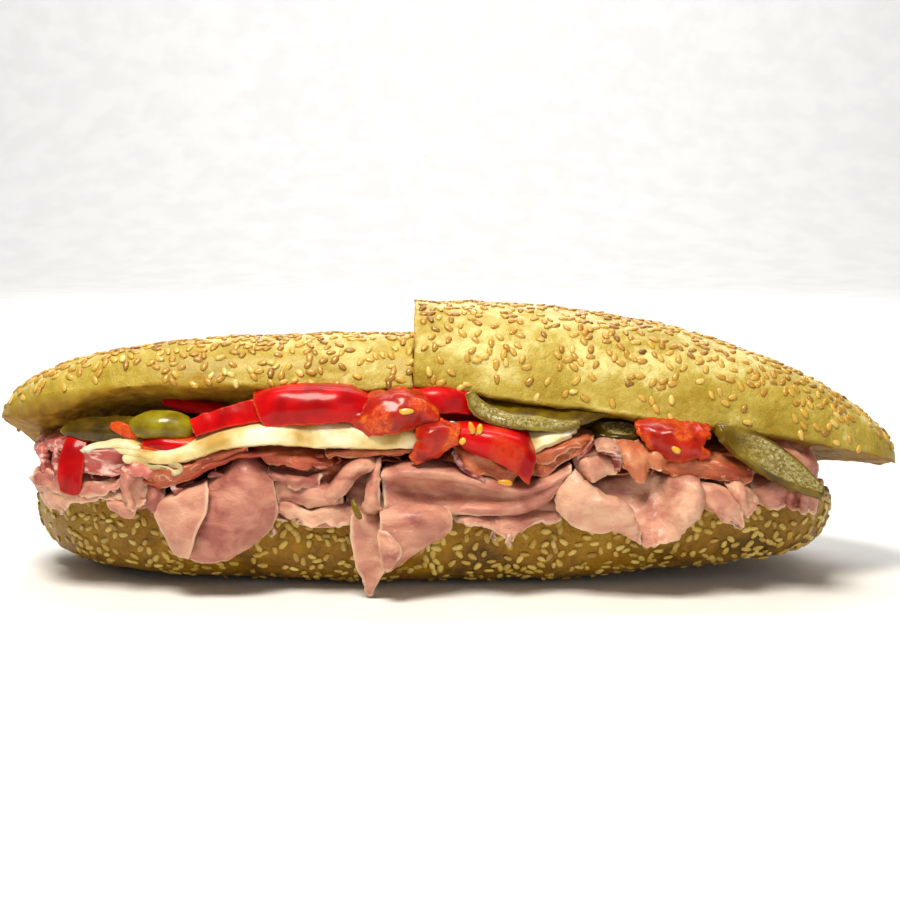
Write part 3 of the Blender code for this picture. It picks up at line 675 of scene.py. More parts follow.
@dataclass
class Bread:
    """One part of the roll, with browned crust and open crumb.

    Attributes:
        node: The CAD node it stands for.
        bake: How brown the crust is, from 0 to 1.
        crumb_faces: 1 if its crumb looks up, -1 if down.
        cut_end: 1 or -1 for a part that is cut across and looks that way along X there, else 0.
        shade: Painted shade down a lid's sides: how much darker they are than its crown.
        sag: How far its left end droops onto the filling, in millimetres.
    """

    node: str
    bake: float
    crumb_faces: int
    cut_end: int = 0
    shade: float = 0.22
    sag: float = 0.0

    LUMPS = ((26.0, 1.0), (9.0, 0.5), (3.2, 0.2))  # size and depth of the dough's unevenness
    CRUMB_LUMPS = ((7.0, 0.8), (2.4, 0.45))
    SOOT = 0.26  # how much darker the roll's underside is: partly its own deeper bake, partly painted shade
    MOTTLE, MOTTLE_SIZE = 0.12, 30.0  # how unevenly it browns
    CRUMB_LOOKS = 0.85  # how straight crumb must look up or down to be counted as cut
    CRUMB_BLEND = (0.45, 0.7)  # from crust to crumb, by how near a surface is to the cut's direction
    CUT_BLEND = (0.75, 0.95)  # from crust to the cut across, by how near it is to along the roll
    DROOP_IN, DROOP_OUT = (-138.0, -126.0), (-92.0, -120.0)  # where along X the lid's end droops
    DROOP_LOOKS = (0.2, -0.4)  # its underside droops and its crown doesn't
    UNDERSIDE, LID_SIDES = (0.3, -0.6), (0.75, -0.1)  # darker crust by how far it looks down: on the underside partly a deeper bake and partly painted shade, down a lid's sides painted shade

    def crumb_share(self, fine: FineMesh) -> np.ndarray:
        """1 where a point is on cut crumb and 0 on crust."""
        toward = fine.normals[:, 2] * self.crumb_faces
        flat = fine.normals[toward > self.CRUMB_LOOKS].mean(axis=0)
        share = smooth_step(*self.CRUMB_BLEND, fine.normals @ (flat / np.linalg.norm(flat)))
        if self.cut_end:
            share = np.maximum(share, smooth_step(*self.CUT_BLEND, fine.normals[:, 0] * self.cut_end))
        return share

    def build(self) -> bpy.types.Object:
        """Builds and dresses the part.

        Returns:
            The piece.
        """
        fine = FineMesh(self.node, crease=0.55, sharp=50.0)
        crumb = self.crumb_share(fine)
        origin = Vector((self.bake * 7, self.cut_end * 3.1, 1.7))
        for lumps, share in ((self.LUMPS, 1.0 - crumb), (self.CRUMB_LUMPS, crumb)):
            for size, depth in lumps:
                swell = drift(fine.points, size, origin)[:, 0] * depth
                fine.points += fine.normals * (swell * share)[:, None]
        along = fine.points[:, 0]
        droop = smooth_step(*self.DROOP_IN, along) * smooth_step(*self.DROOP_OUT, along)
        fine.points[:, 2] -= self.sag * droop * smooth_step(*self.DROOP_LOOKS, fine.normals[:, 2])
        fine.points[:, 2] = np.maximum(fine.points[:, 2], 0.0)
        fine.write()
        # painted shade together with the underside's deeper bake: the base darkens as it looks down
        low = smooth_step(*self.UNDERSIDE, fine.normals[:, 2]) * self.SOOT
        # a lid gets painted shade down its sides instead, which leaves its crown paler
        if self.crumb_faces < 0:
            low = smooth_step(*self.LID_SIDES, fine.normals[:, 2]) * self.shade
        mottle = self.MOTTLE * drift(fine.points, self.MOTTLE_SIZE, origin)[:, 1]
        fine.keep("crumb", crumb)
        # the cut ends keep the crumb's own pale colour; the rest of the crumb gets painted shade
        fine.keep("fresh", smooth_step(*self.CUT_BLEND, fine.normals[:, 0] * self.cut_end))
        # bake also carries the painted shade of the underside and of the lids' sides
        fine.keep("bake", self.bake + low + mottle)
        return fine.place(self.node.replace("roll_", "bread_"), Food.BREAD, "crust")


@dataclass
class Slice:
    """A thin slice: wrinkled, with a thinner, ragged rim.

    Attributes:
        node: The CAD node it stands for.
        food: Its finish.
        slot: Not used.
        thin: How much is taken off each side, in millimetres.
        wrinkles: Size and depth of the waves that run through the whole slice.
        ragged: How far the rim is torn in and out.
    """

    node: str
    food: Food
    slot: str
    thin: float = 0.15
    wrinkles: tuple[Span, ...] = ((11.0, 0.9), (4.5, 0.35))
    ragged: float = 0.5

    RIM_REACH = 2.2  # how far in from the rim the slice is thinner
    RIM_THINNER = 0.6  # how much more is taken off there
    TEAR = 2.6  # size of a tear in the rim
    TINT, TONES = 0.12, 11  # how far slices differ in tone, and how many tones there are
    ORIGIN = Vector((1.3, 0.4, 2.2))  # shifts the wrinkles

    def build(self) -> bpy.types.Object:
        """Builds and dresses the slice.

        Returns:
            The piece.
        """
        fine = FineMesh(self.node)
        rim = fine.cut_distance()
        near = 1.0 - smooth_step(0.0, self.RIM_REACH, rim)
        fine.points -= fine.normals * (self.thin * (1.0 + self.RIM_THINNER * near))[:, None]
        for size, depth in self.wrinkles:
            fine.points += drift(fine.points, size, self.ORIGIN) * depth
        fine.points += drift(fine.points, self.TEAR, self.ORIGIN) * (self.ragged * near)[:, None]
        fine.points[:, 2] = np.maximum(fine.points[:, 2], 0.0)
        fine.write()
        fine.keep("rim", rim)
        tint = (sum(map(ord, self.node)) % self.TONES / (self.TONES - 1) - 0.5) * self.TINT
        fine.keep("tint", np.full(len(rim), tint))
        return fine.place(self.node + "_slice", self.food, self.slot)


@dataclass
class Topping:
    """A piece of pickle inside the filling.

    Attributes:
        node: The CAD node it stands for.
        lumps: Size and depth of its unevenness.
        flesh: Share of its width, from the middle, where the cut flesh shows.
        tint: Makes it lighter, or darker below 0.
    """

    node: str
    lumps: tuple[Span, ...] = ((8.0, 0.8), (3.0, 0.25))
    flesh: float = 0.6
    tint: float = -0.3

    FACE = (0.5, 0.8)  # flesh shows where the surface looks along the piece's thin way
    SKIN = 0.14  # width of the blend from flesh to skin
    ORIGIN = Vector((0.2, 5.1, 0.9))  # shifts the lumps

    def build(self) -> bpy.types.Object:
        """Builds and dresses the piece.

        Returns:
            The piece.
        """
        fine = FineMesh(self.node, crease=0.2, sharp=50.0)
        flesh = self.inside(fine)
        for size, depth in self.lumps:
            fine.points += drift(fine.points, size, self.ORIGIN) * depth
        fine.write()
        fine.keep("flesh", np.clip(flesh, 0.0, 1.0))
        fine.keep("tint", np.full(len(flesh), self.tint))
        return fine.place(self.node + "_piece", Food.PICKLE, "pickle")

    def inside(self, fine: FineMesh) -> np.ndarray:
        """1 where flesh shows and 0 on skin.

        Args:
            fine: The piece's mesh.

        Returns:
            One number a point.
        """
        off = fine.points - fine.points.mean(axis=0)
        axes = np.linalg.svd(off, full_matrices=False)[2]
        long, wide = (off @ axis / np.abs(off @ axis).max() for axis in axes[:2])
        flat = np.abs(fine.normals @ axes[2])
        skin = smooth_step(self.flesh, self.flesh + self.SKIN, np.hypot(long, wide))
        return smooth_step(*self.FACE, flat) * (1.0 - skin)


# --- drawn folds --------------------------------------------------------------------------------
def through(places: np.ndarray, at: np.ndarray) -> np.ndarray:
    """Reads a smooth curve that passes through every place.

    Args:
        places: The places, in order along the first axis.
        at: Where it is read, from 0 at the first place to 1 at the last.

    Returns:
        One row for each value of at.
    """
    ends = np.concatenate([2 * places[:1] - places[1:2], places, 2 * places[-1:] - places[-2:-1]])
    along = at * (len(places) - 1)
    first = np.minimum(along.astype(int), len(places) - 2)
    f = (along - first).reshape(-1, *[1] * (places.ndim - 1))
    a, b, c, d = (ends[first + k] for k in range(4))
    return b + 0.5 * f * (c - a + f * (2 * a - 5 * b + 4 * c - d + f * (3 * (b - c) + d - a)))


def steps(length: float, step: float) -> np.ndarray:
    """Even steps from 0 to 1 along a length, with closer ones at both ends for a round rim."""
    close = np.array([0.0, 0.12, 0.4, 0.8]) / length
    middle = np.linspace(1.4 / length, 1 - 1.4 / length, max(3, round(length / step)))
    return np.concatenate([close, middle, 1 - close[::-1]])


@dataclass(frozen=True)
class Sheet:
    """One fold of a slice, or one flat piece, drawn by places that its middle passes through.

    Attributes:
        rows: Rows of (x, y, z) from the top or the inside to the hem, each from left to right.
        thick: Its thickness.
        edge: Share of the thickness that is left at the rim.
        round: How far in from the rim the thickness is full.
        wrinkles: Size and depth of the waves in it.
        ragged: How far the rim is torn in and out.
        step: Distance between mesh points.
    """

    rows: tuple[tuple[Place, ...], ...]
    thick: float = 1.0
    edge: float = 0.5
    round: float = 0.8
    wrinkles: tuple[Span, ...] = ((9.0, 0.7), (3.5, 0.25))
    ragged: float = 0.45
    step: float = 0.9

    TEARS = ((5.0, 1.0), (1.7, 0.7))
    TEAR_REACH = 2.5

    def grid(self) -> np.ndarray:
        """Its middle as a grid of points: down, across, and x, y, z."""
        rows = np.array(self.rows)
        down = np.linalg.norm(np.diff(rows, axis=0), axis=2).sum(axis=0).max()
        across = np.linalg.norm(np.diff(rows, axis=1), axis=2).sum(axis=1).max()
        tall = through(rows, steps(down, self.step))
        return through(tall.transpose(1, 0, 2), steps(across, self.step)).transpose(1, 0, 2)

    @staticmethod
    def rim_distance(grid: np.ndarray) -> np.ndarray:
        """How far each point of a grid is from the nearest rim, along the grid's lines."""
        nearest = np.full(grid.shape[:2], np.inf)
        for axis in (0, 1):
            spans = np.linalg.norm(np.diff(grid, axis=axis), axis=2)
            zero = np.zeros_like(np.take(spans, [0], axis))
            start = np.concatenate([zero, np.cumsum(spans, axis)], axis)
            whole = np.take(start, [-1], axis)
            nearest = np.minimum(nearest, np.minimum(start, whole - start))
        return nearest

    def build(self, origin: Vector) -> tuple[np.ndarray, np.ndarray, np.ndarray, np.ndarray]:
        """Makes the sheet with both its sides.

        Args:
            origin: Shifts its wrinkles, so that no two sheets share them.

        Returns:
            Points, faces, each point's distance from the rim, and 0 on the front or 1 on the back.
        """
        grid = self.grid()
        rim = self.rim_distance(grid)
        near = (1.0 - smooth_step(0.0, self.TEAR_REACH, rim)).ravel()[:, None]
        flat = grid.reshape(-1, 3)
        moved = flat.copy()
        for size, depth in self.wrinkles:
            moved += drift(flat, size, origin) * depth
        for size, share in self.TEARS:
            moved += drift(flat, size, origin * 1.7) * (near * share * self.ragged)
        grid = moved.reshape(grid.shape)
        normal = np.cross(np.gradient(grid, axis=0), np.gradient(grid, axis=1))
        normal /= np.linalg.norm(normal, axis=2, keepdims=True) + 1e-9
        inward = np.clip(rim / self.round, 0.0, 1.0)
        full = self.edge + (1.0 - self.edge) * np.sqrt(1.0 - (1.0 - inward) ** 2)
        half = (full * self.thick / 2)[..., None]
        high, wide = rim.shape
        index = np.arange(high * wide).reshape(high, wide)
        corners = [index[:-1, :-1], index[1:, :-1], index[1:, 1:], index[:-1, 1:]]
        front = np.stack(corners, -1).reshape(-1, 4)
        back = front[:, ::-1] + high * wide
        loop = np.concatenate([index[0, :-1], index[:-1, -1], index[-1, :0:-1], index[:0:-1, 0]])
        after = np.roll(loop, -1)
        side = np.stack([loop, after, after + high * wide, loop + high * wide], -1)
        shift = normal * half
        points = np.concatenate([(grid + shift).reshape(-1, 3), (grid - shift).reshape(-1, 3)])
        faces = np.concatenate([front, back, side])
        return points, faces, np.tile(rim.ravel(), 2), np.repeat([0.0, 1.0], high * wide)


@dataclass(frozen=True)
class Ruffle:
    """A thin slice's gathered rim, which folds to and fro like a frill.

    Attributes:
        start: Where the rim begins, (x, y, z).
        end: Where it ends.
        inward: How far its root lies behind it.
        rise: How much higher its root is.
        fold: Distance from one fold to the next.
        sway: How far a fold goes out and in.
        heave: How far a fold goes up and down.
        thick: Thickness of the slice.
        facing: -1 where its rim shows at the front, 1 at the back.
        step: Distance between its mesh's points.
    """

    start: Place
    end: Place
    inward: float = 9.0
    rise: float = 1.5
    fold: float = 6.0
    sway: float = 2.0
    heave: float = 1.6
    thick: float = 0.6
    facing: int = -1
    step: float = 1.1

    PARTS = 6  # places on one fold
    ROWS = (0.0, 0.45, 0.75, 1.0)  # from the root to the rim
    GROWTH = 1.6  # how late its folds grow out of the root
    OVERHANG = 0.22  # how far a fold leans over the next

    def sheet(self) -> Sheet:
        """Draws it as a sheet."""
        start, end = np.array(self.start), np.array(self.end)
        length = np.linalg.norm(end - start)
        along = (end - start) / length
        count = max(5, round(length / self.fold * self.PARTS))
        seed = Vector(self.start) * 0.37
        rows = []
        for row in self.ROWS:
            line = []
            for i in range(count + 1):
                t = i / count
                where = Vector((t * length / self.fold * 0.8, row * 0.6, 0.0)) + seed
                loose = noise.noise_vector(where)
                turn = 2 * math.pi * (t * length / self.fold + 0.45 * loose.x)
                grown = row**self.GROWTH
                swing = self.sway * (1.0 + 0.7 * loose.y) * grown
                lean = self.OVERHANG * self.fold * math.sin(2 * turn) * grown
                place = start + along * (t * length) + along * lean
                place[1] += self.facing * (swing * math.sin(turn) - self.inward * (1.0 - row))
                place[2] += self.rise * (1.0 - row)
                place[2] += self.heave * (math.cos(turn) + 1.2 * loose.z) * grown
                line.append(tuple(place))
            rows.append(tuple(line))
        return Sheet(
            tuple(rows), self.thick, wrinkles=((3.0, 0.3),), ragged=0.6, round=0.5, step=self.step
        )


def turned(sheet: Sheet, x: float, y: float = 0.0, z: float = 0.0) -> Sheet:
    """Draws the same fold at the back, turned half round.

    Args:
        sheet: The fold, as drawn at the front.
        x: Twice the place along X that it is turned about.
        y: How far it moves back, negative to move in.
        z: How far it moves up.

    Returns:
        The fold at the back.
    """
    rows = tuple(tuple((x - a, y - b, z + c) for a, b, c in row) for row in sheet.rows)
    return replace(sheet, rows=rows)


def shred(path: tuple[Place, ...], width: float = 0.8, thick: float = 0.6) -> Sheet:
    """Draws a torn shred along a path.

    Args:
        path: The places that it passes through.
        width: Its width in the middle; it narrows to both ends.
        thick: Its thickness.

    Returns:
        The shred, as a sheet.
    """
    rows = []
    for i, place in enumerate(path):
        before, after = path[max(i - 1, 0)], path[min(i + 1, len(path) - 1)]
        along = Vector(after) - Vector(before)
        across = along.cross(Vector((0.0, 1.0, 0.0))).normalized() * width / 2
        grown = 0.5 if i in (0, len(path) - 1) else 1.0
        rows.append(tuple(tuple(Vector(place) + across * side * grown) for side in (1.0, 0.0, -1.0)))
    return Sheet(
        tuple(rows), thick, edge=0.3, round=0.4, wrinkles=((2.5, 0.25),), ragged=0.1, step=0.5
    )


@dataclass(frozen=True)
class Folded:
    """A slice or a piece made of drawn sheets.

    Attributes:
        name: Its name.
        food: Its finish.
        slot: Not used.
        sheets: Its sheets, or the ruffles that draw them.
        nodes: The CAD nodes that it stands for.
        flesh: How much of its back and its cut rim shows flesh.
        pulpy: How much flesh breaks through its skin.
        tint: Makes it lighter, or darker below 0.
        face: How much flesh its face shows within the peel.
        fade: Where along X its face turns from skin to flesh.
        cut: Width of the flesh that shows along its rim.
    """

    name: str
    food: Food
    slot: str
    sheets: tuple[Sheet | Ruffle, ...]
    nodes: tuple[str, ...] = ()
    flesh: float = 0.0
    pulpy: float = 0.0
    tint: float = 0.0
    face: float = 0.0
    fade: Span = (-1000.0, -999.0)
    cut: float = 0.7

    PEEL = 1.3  # width of the peel round a slice that shows its flesh
    TORN, TORN_SIZE, TORN_ORIGIN = (0.0, 0.25), 6.5, Vector((7.0, 0.0, 3.0))
    FLOOR = 0.05  # nothing hangs lower

    def build(self) -> bpy.types.Object:
        """Builds and dresses the piece.

        Returns:
            The piece.
        """
        points, faces, rims, backs, start = [], [], [], [], 0
        for i, drawn in enumerate(self.sheets):
            sheet = drawn.sheet() if isinstance(drawn, Ruffle) else drawn
            origin = Vector((i * 3.7 + len(self.name), sum(map(ord, self.name)) % 17, 0.5))
            some, quads, rim, back = sheet.build(origin)
            points.append(some)
            faces.append(quads + start)
            rims.append(rim)
            backs.append(back)
            start += len(some)
        places, rim, back = np.concatenate(points), np.concatenate(rims), np.concatenate(backs)
        places[:, 2] = np.maximum(places[:, 2], self.FLOOR)
        mesh = bpy.data.meshes.new(self.name)
        mesh.from_pydata(places * MM, [], np.concatenate(faces).tolist())
        flesh = np.maximum(back, 1.0 - smooth_step(0.0, self.cut, rim)) * self.flesh
        shown = self.face * smooth_step(*self.fade, places[:, 0])
        flesh = np.maximum(flesh, smooth_step(self.PEEL * 0.6, self.PEEL * 1.3, rim) * shown)
        if self.pulpy:
            torn = drift(places, self.TORN_SIZE, self.TORN_ORIGIN)[:, 0]
            flesh = np.maximum(flesh, self.pulpy * smooth_step(*self.TORN, torn))
        store(mesh, "rim", rim)
        store(mesh, "flesh", flesh)
        store(mesh, "tint", np.full(len(rim), self.tint))
        return finished(mesh, self.name, self.food, self.nodes)


# --- scattered things ---------------------------------------------------------------------------
@dataclass
class SesameSeeds:
    """Sesame over the crust, pressed in before baking: one mesh of true-size seeds.

    Attributes:
        length: Of a seed.
        width: Of a seed.
        depth: Of a seed.
        sunk: Share of its depth that is in the crust.
        apart: Least distance between two seeds' middles.
    """

    length: float = 3.15
    width: float = 1.95
    depth: float = 0.95
    sunk: float = 0.38
    apart: float = 1.9

    AROUND, RINGS = 7, 4
    CLEAR = 1.7  # room that a seed needs under the filling
    RAW = ("#d6bc5e", "#bc9a3a", "#9a7822", "#6e4e10")
    TOASTED = ("#ecd27c", "#d4a843", "#b48226", "#7d4c14")
    HILUM = "#32180a"  # the dark point of a seed
    PLUMP = 0.62  # half of a seed's thickest girth, as a share of its width or depth
    BASE_TRIES, LID_TRIES = 17000, 9500
    SIZES = (0.86, 1.12)  # smallest and largest, as a share of a seed's size
    TILT = 0.1  # how far a seed leans, in radians

    def shape(self) -> tuple[np.ndarray, list[tuple[int, ...]], np.ndarray]:
        """One seed, a flattened drop along X.

        Returns:
            Its points, its faces, and each point's place from the round end, 0, to the tip, 1.
        """
        points, ends = [(-0.5, 0.0, 0.0)], [0.0]
        for ring in range(1, self.RINGS + 1):
            t = ring / (self.RINGS + 1)
            x = -0.5 * math.cos(math.pi * t)
            girth = math.sin(math.pi * t) ** 0.85 * (1.0 - 0.42 * t)
            for side in range(self.AROUND):
                a = 2 * math.pi * side / self.AROUND
                points.append((x, self.PLUMP * girth * math.cos(a), self.PLUMP * girth * math.sin(a)))
                ends.append(t)
        points.append((0.5, 0.0, 0.0))
        ends.append(1.0)
        faces: list[tuple[int, ...]] = []
        last = len(points) - 1
        for side in range(self.AROUND):
            after = (side + 1) % self.AROUND
            faces.append((0, 1 + after, 1 + side))
            for ring in range(self.RINGS - 1):
                a, b = 1 + ring * self.AROUND, 1 + (ring + 1) * self.AROUND
                faces.append((a + side, a + after, b + after, b + side))
            top = 1 + (self.RINGS - 1) * self.AROUND
            faces.append((top + side, top + after, last))
        return np.array(points) * (self.length, self.width, self.depth), faces, np.array(ends)

    def spots(
        self,
        bread: bpy.types.Object,
        wanted: int,
        density: Callable[[np.ndarray, np.ndarray], np.ndarray],
        rng: np.random.Generator,
    ) -> list[tuple[np.ndarray, np.ndarray]]:
        """Where seeds lie on one part of the roll.

        Args:
            bread: The part.
            wanted: How many places are tried.
            density: The share of them that is kept, from the points and their normals.
            rng: The random source.

        Returns:
            (point, normal) of each seed, in millimetres.
        """
        mesh = bread.data
        mesh.calc_loop_triangles()
        count = len(mesh.loop_triangles)
        corners = np.empty(count * 3, int)
        mesh.loop_triangles.foreach_get("vertices", corners)
        corners = corners.reshape(-1, 3)
        points, normals = read_points(mesh)
        crumb = np.empty(len(points))
        mesh.attributes["crumb"].data.foreach_get("value", crumb)
        a, b, c = (points[corners[:, k]] for k in range(3))
        area = np.linalg.norm(np.cross(b - a, c - a), axis=1)
        chosen = rng.choice(count, wanted, p=area / area.sum())
        r1, r2 = np.sqrt(rng.random(wanted))[:, None], rng.random(wanted)[:, None]
        weights = (1 - r1, r1 * (1 - r2), r1 * r2)
        where = sum(w * points[corners[chosen, k]] for k, w in enumerate(weights))
        facing = sum(w * normals[corners[chosen, k]] for k, w in enumerate(weights))
        facing /= np.linalg.norm(facing, axis=1)[:, None]
        bare = crumb[corners[chosen]].max(axis=1) > 0.1
        kept = (rng.random(wanted) < density(where, facing)) & ~bare
        return list(zip(where[kept], facing[kept]))

    def build(
        self, breads: dict[str, bpy.types.Object], filling: BVHTree, rng: np.random.Generator
    ) -> bpy.types.Object:
        """Scatters the seeds.

        Args:
            breads: The roll's parts, by name.
            filling: The filling's surface, which seeds keep clear of.
            rng: The random source.

        Returns:
            The piece.
        """
        shape, faces, ends = self.shape()
        grid: dict[tuple[int, ...], list[np.ndarray]] = {}
        seeds, tones = [], []
        for name, bread in breads.items():
            lower = name == "bread_base"
            tones_here = self.RAW if lower else self.TOASTED
            palette = np.array([linear(colour)[:3] for colour in tones_here])
            tried = self.BASE_TRIES if lower else self.LID_TRIES
            density = self.base_density if lower else self.lid_density
            for where, facing in self.spots(bread, tried, density, rng):
                cell = tuple(int(v // self.apart) for v in where)
                around = [
                    other
                    for step in np.ndindex(3, 3, 3)
                    for other in grid.get(tuple(np.add(cell, step) - 1), ())
                ]
                if any(np.linalg.norm(other - where) < self.apart for other in around):
                    continue
                normal = Vector(facing)
                room = filling.ray_cast(Vector(where) * MM, normal, self.CLEAR * MM)
                if lower and room[0] is not None:
                    continue
                grid.setdefault(cell, []).append(where)
                turn = normal.to_track_quat("Z", "Y").to_matrix()
                lean, roll = rng.normal(0, self.TILT), rng.normal(0, self.TILT)
                turn = turn @ Euler((lean, roll, rng.uniform(0, 2 * math.pi))).to_matrix()
                size = rng.uniform(*self.SIZES)
                lift = self.depth * self.PLUMP * (1.0 - 2 * self.sunk)
                placed = (shape * size) @ np.array(turn).T + where + facing * lift
                placed[:, 2] = np.maximum(placed[:, 2], 0.0)
                seeds.append(placed)
                tones.append(self.tone(palette, ends, lower, facing, rng))
        log.info("sesame seeds: %d", len(seeds))
        return self.scattered("sesame_seeds", seeds, faces, tones, Food.SESAME, "crust")

    @staticmethod
    def scattered(
        name: str,
        seeds: list[np.ndarray],
        faces: list[tuple[int, ...]],
        tones: list[np.ndarray],
        food: Food,
        slot: str,
    ) -> bpy.types.Object:
        """Makes one piece of many seeds.

        Args:
            name: The piece's name.
            seeds: Each seed's points, in millimetres.
            faces: One seed's faces.
            tones: The colour of each point of each seed.
            food: The piece's finish.
            slot: Not used.

        Returns:
            The piece.
        """
        starts = range(0, len(seeds) * len(seeds[0]), len(seeds[0]))
        mesh = bpy.data.meshes.new(name)
        mesh.from_pydata(
            np.concatenate(seeds) * MM,
            [],
            [tuple(start + i for i in face) for start in starts for face in faces],
        )
        store(mesh, "tone", np.concatenate(tones))
        return finished(mesh, name, food)

    @staticmethod
    def lid_density(where: np.ndarray, facing: np.ndarray) -> np.ndarray:
        """Thick over the crown, thinner down the front."""
        high = smooth_step(0.2, 0.85, facing[:, 2])
        clumps = np.array([noise.noise(Vector(p) / 11.0) for p in where])
        return np.clip(0.11 + 0.4 * high + 0.24 * clumps, 0.04, 1.0)

    @staticmethod
    def base_density(where: np.ndarray, facing: np.ndarray) -> np.ndarray:
        """Thick round the sides, sparse underneath."""
        under = smooth_step(-0.7, -0.97, facing[:, 2])
        clumps = np.array([noise.noise(Vector(p) / 9.0) for p in where])
        return np.clip(0.42 + 0.6 * clumps, 0.08, 1.0) * (1.0 - 0.85 * under)

    def tone(
        self,
        palette: np.ndarray,
        ends: np.ndarray,
        lower: bool,
        facing: np.ndarray,
        rng: np.random.Generator,
    ) -> np.ndarray:
        """The colour of each point of one seed.

        Args:
            palette: Linear colours from raw to toasted.
            ends: Each point's place along the seed.
            lower: Whether the seed is on the lower half, which toasts less.
            facing: Which way the crust looks.
            rng: The random source.

        Returns:
            A row of four numbers a point.
        """
        toast = rng.normal(0.9, 0.5) if lower else rng.normal(1.2, 0.5) + 0.4 * max(facing[2], 0.0)
        toast = float(np.clip(toast, 0.0, len(palette) - 1.001))
        low = int(toast)
        colour = palette[low] * (1 - toast + low) + palette[low + 1] * (toast - low)
        tip = (smooth_step(0.78, 0.9, ends) * min(1.0, rng.uniform(-0.2, 1.8)))[:, None].clip(0.0)
        rows = colour * (1 - tip) + np.array(linear(self.HILUM)[:3]) * tip
        return np.hstack([rows, np.ones((len(ends), 1))])


@dataclass(frozen=True)
class TomatoSeeds:
    """Yellow tomato seeds that stick to the wet pieces at the front.

    Attributes:
        tones: From the palest to the ripest.
        places: (x, y, z) of each seed, its turn in degrees and its length.
    """

    tones: tuple[str, ...] = ("#e0b030", "#d49418", "#dca820")
    lean_back: float = 80.0  # degrees, so that a seed lies on an upright face
    places: tuple[tuple[float, float, float, float, float], ...] = (
        (-12.4, -47.2, 55.4, 4, 4.6), (6.0, -47.0, 50.7, 108, 3.8), (8.3, -47.2, 50.4, 82, 3.2),
        (3.6, -46.6, 47.0, 40, 2.6), (15.4, -49.6, 35.6, 172, 4.4), (64.0, -45.2, 44.2, 150, 3.0),
    )

    def build(self) -> bpy.types.Object:
        """Builds the seeds.

        Returns:
            The piece.
        """
        seed = SesameSeeds()
        shape, faces, ends = seed.shape()
        seeds, tones = [], []
        for i, (x, y, z, turn, length) in enumerate(self.places):
            upright = Euler((math.radians(self.lean_back), 0.0, 0.0)).to_matrix()
            tilt = upright @ Matrix.Rotation(math.radians(turn), 3, "Z")
            sized = shape * (length / seed.length, 1.0, 1.0)
            seeds.append(sized @ np.array(tilt).T + (x, y, z))
            tones.append(np.tile(linear(self.tones[i % len(self.tones)]), (len(ends), 1)))
        return seed.scattered("tomato_seeds", seeds, faces, tones, Food.WET_SEEDS, "tomato")


# --- studio -------------------------------------------------------------------------------------
@dataclass(frozen=True)
class Softbox:
    """A square light that looks at the sandwich.

    Attributes:
        name: The light's name.
        at: Where it hangs, in metres.
        size: Its side, in metres.
        watts: Its power.
        colour: Its colour.
    """

    name: str
    at: Place
    size: float
    watts: float
    colour: str = "#ffffff"

    def build(self, target: Vector) -> None:
        """Hangs the light and points it at target."""
        data = bpy.data.lights.new(self.name, "AREA")
        data.size, data.energy, data.color = self.size, self.watts, linear(self.colour)[:3]
        light = bpy.data.objects.new(self.name, data)
        light.location = self.at
        light.rotation_euler = (target - Vector(self.at)).to_track_quat("-Z", "Y").to_euler()
        bpy.context.scene.collection.objects.link(light)


@dataclass
class Studio:
    """Pale paper that sweeps up behind the sandwich, soft light and camera."""

    camera_at: Place = (-0.0001, -0.4575, 0.108)  # metres
    look_down: float = 8.8  # degrees
    half_angle: float = 17.0  # degrees, half of what the camera sees across
    sensor: float = 36.0
    floor_size: float = 16.0  # metres
    wall_at: float = 2.0  # metres behind the sandwich
    wall_bend: float = 1.0  # metres
    bend_steps: int = 16
    wall_light_at: float = 0.6  # metres, the height on the wall that its light looks at
    nearest: float = 0.01  # metres, what the camera sees nearest
    ambient: float = 0.12
    boxes: tuple[Softbox, ...] = (
        Softbox("key", (-0.12, -0.3, 0.62), 0.24, 5.7, "#fff8ea"),
        Softbox("fill", (0.35, -0.75, 0.25), 0.6, 0.9),
        Softbox("back", (0.1, 0.45, 0.45), 0.5, 1.6),
    )
    wall_box: Softbox = Softbox("wall", (0.0, 0.7, 1.9), 1.5, 60.0)

    def build(self) -> None:
        """Builds the floor, the lights and the camera."""
        scene = bpy.context.scene
        mesh = bpy.data.meshes.new("floor")
        half = self.floor_size / 2
        turns = [math.pi / 2 * i / self.bend_steps for i in range(self.bend_steps + 1)]
        bend = [(math.sin(a), 1 - math.cos(a)) for a in turns]
        bend = [(self.wall_at + self.wall_bend * back, self.wall_bend * up) for back, up in bend]
        line = [(-half, 0.0), *bend, (self.wall_at + self.wall_bend, self.floor_size)]
        mesh.from_pydata(
            [(x, y, z) for y, z in line for x in (-half, half)],
            [],
            [(2 * i, 2 * i + 1, 2 * i + 3, 2 * i + 2) for i in range(len(line) - 1)],
        )
        mesh.shade_smooth()
        floor = bpy.data.objects.new("floor", mesh)
        scene.collection.objects.link(floor)
        Food.PAPER.dress(floor)
        floor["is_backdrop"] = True
        low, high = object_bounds()
        for box in self.boxes:
            box.build((low + high) / 2)
        self.wall_box.build(Vector((0.0, self.wall_at + self.wall_bend, self.wall_light_at)))
        world = bpy.data.worlds.new("studio")
        world.use_nodes = True
        world.node_tree.nodes["Background"].inputs["Color"].default_value = (1.0, 1.0, 1.0, 1.0)
        world.node_tree.nodes["Background"].inputs["Strength"].default_value = self.ambient
        scene.world = world
        data = bpy.data.cameras.new("camera")
        data.sensor_width = self.sensor
        data.lens = self.sensor / 2 / math.tan(math.radians(self.half_angle))
        data.clip_start = self.nearest
        camera = bpy.data.objects.new("camera", data)
        camera.location = self.camera_at
        camera.rotation_euler = (math.radians(90 - self.look_down), 0.0, 0.0)
        scene.collection.objects.link(camera)
        scene.camera = camera
        scene.view_settings.view_transform = "Standard"


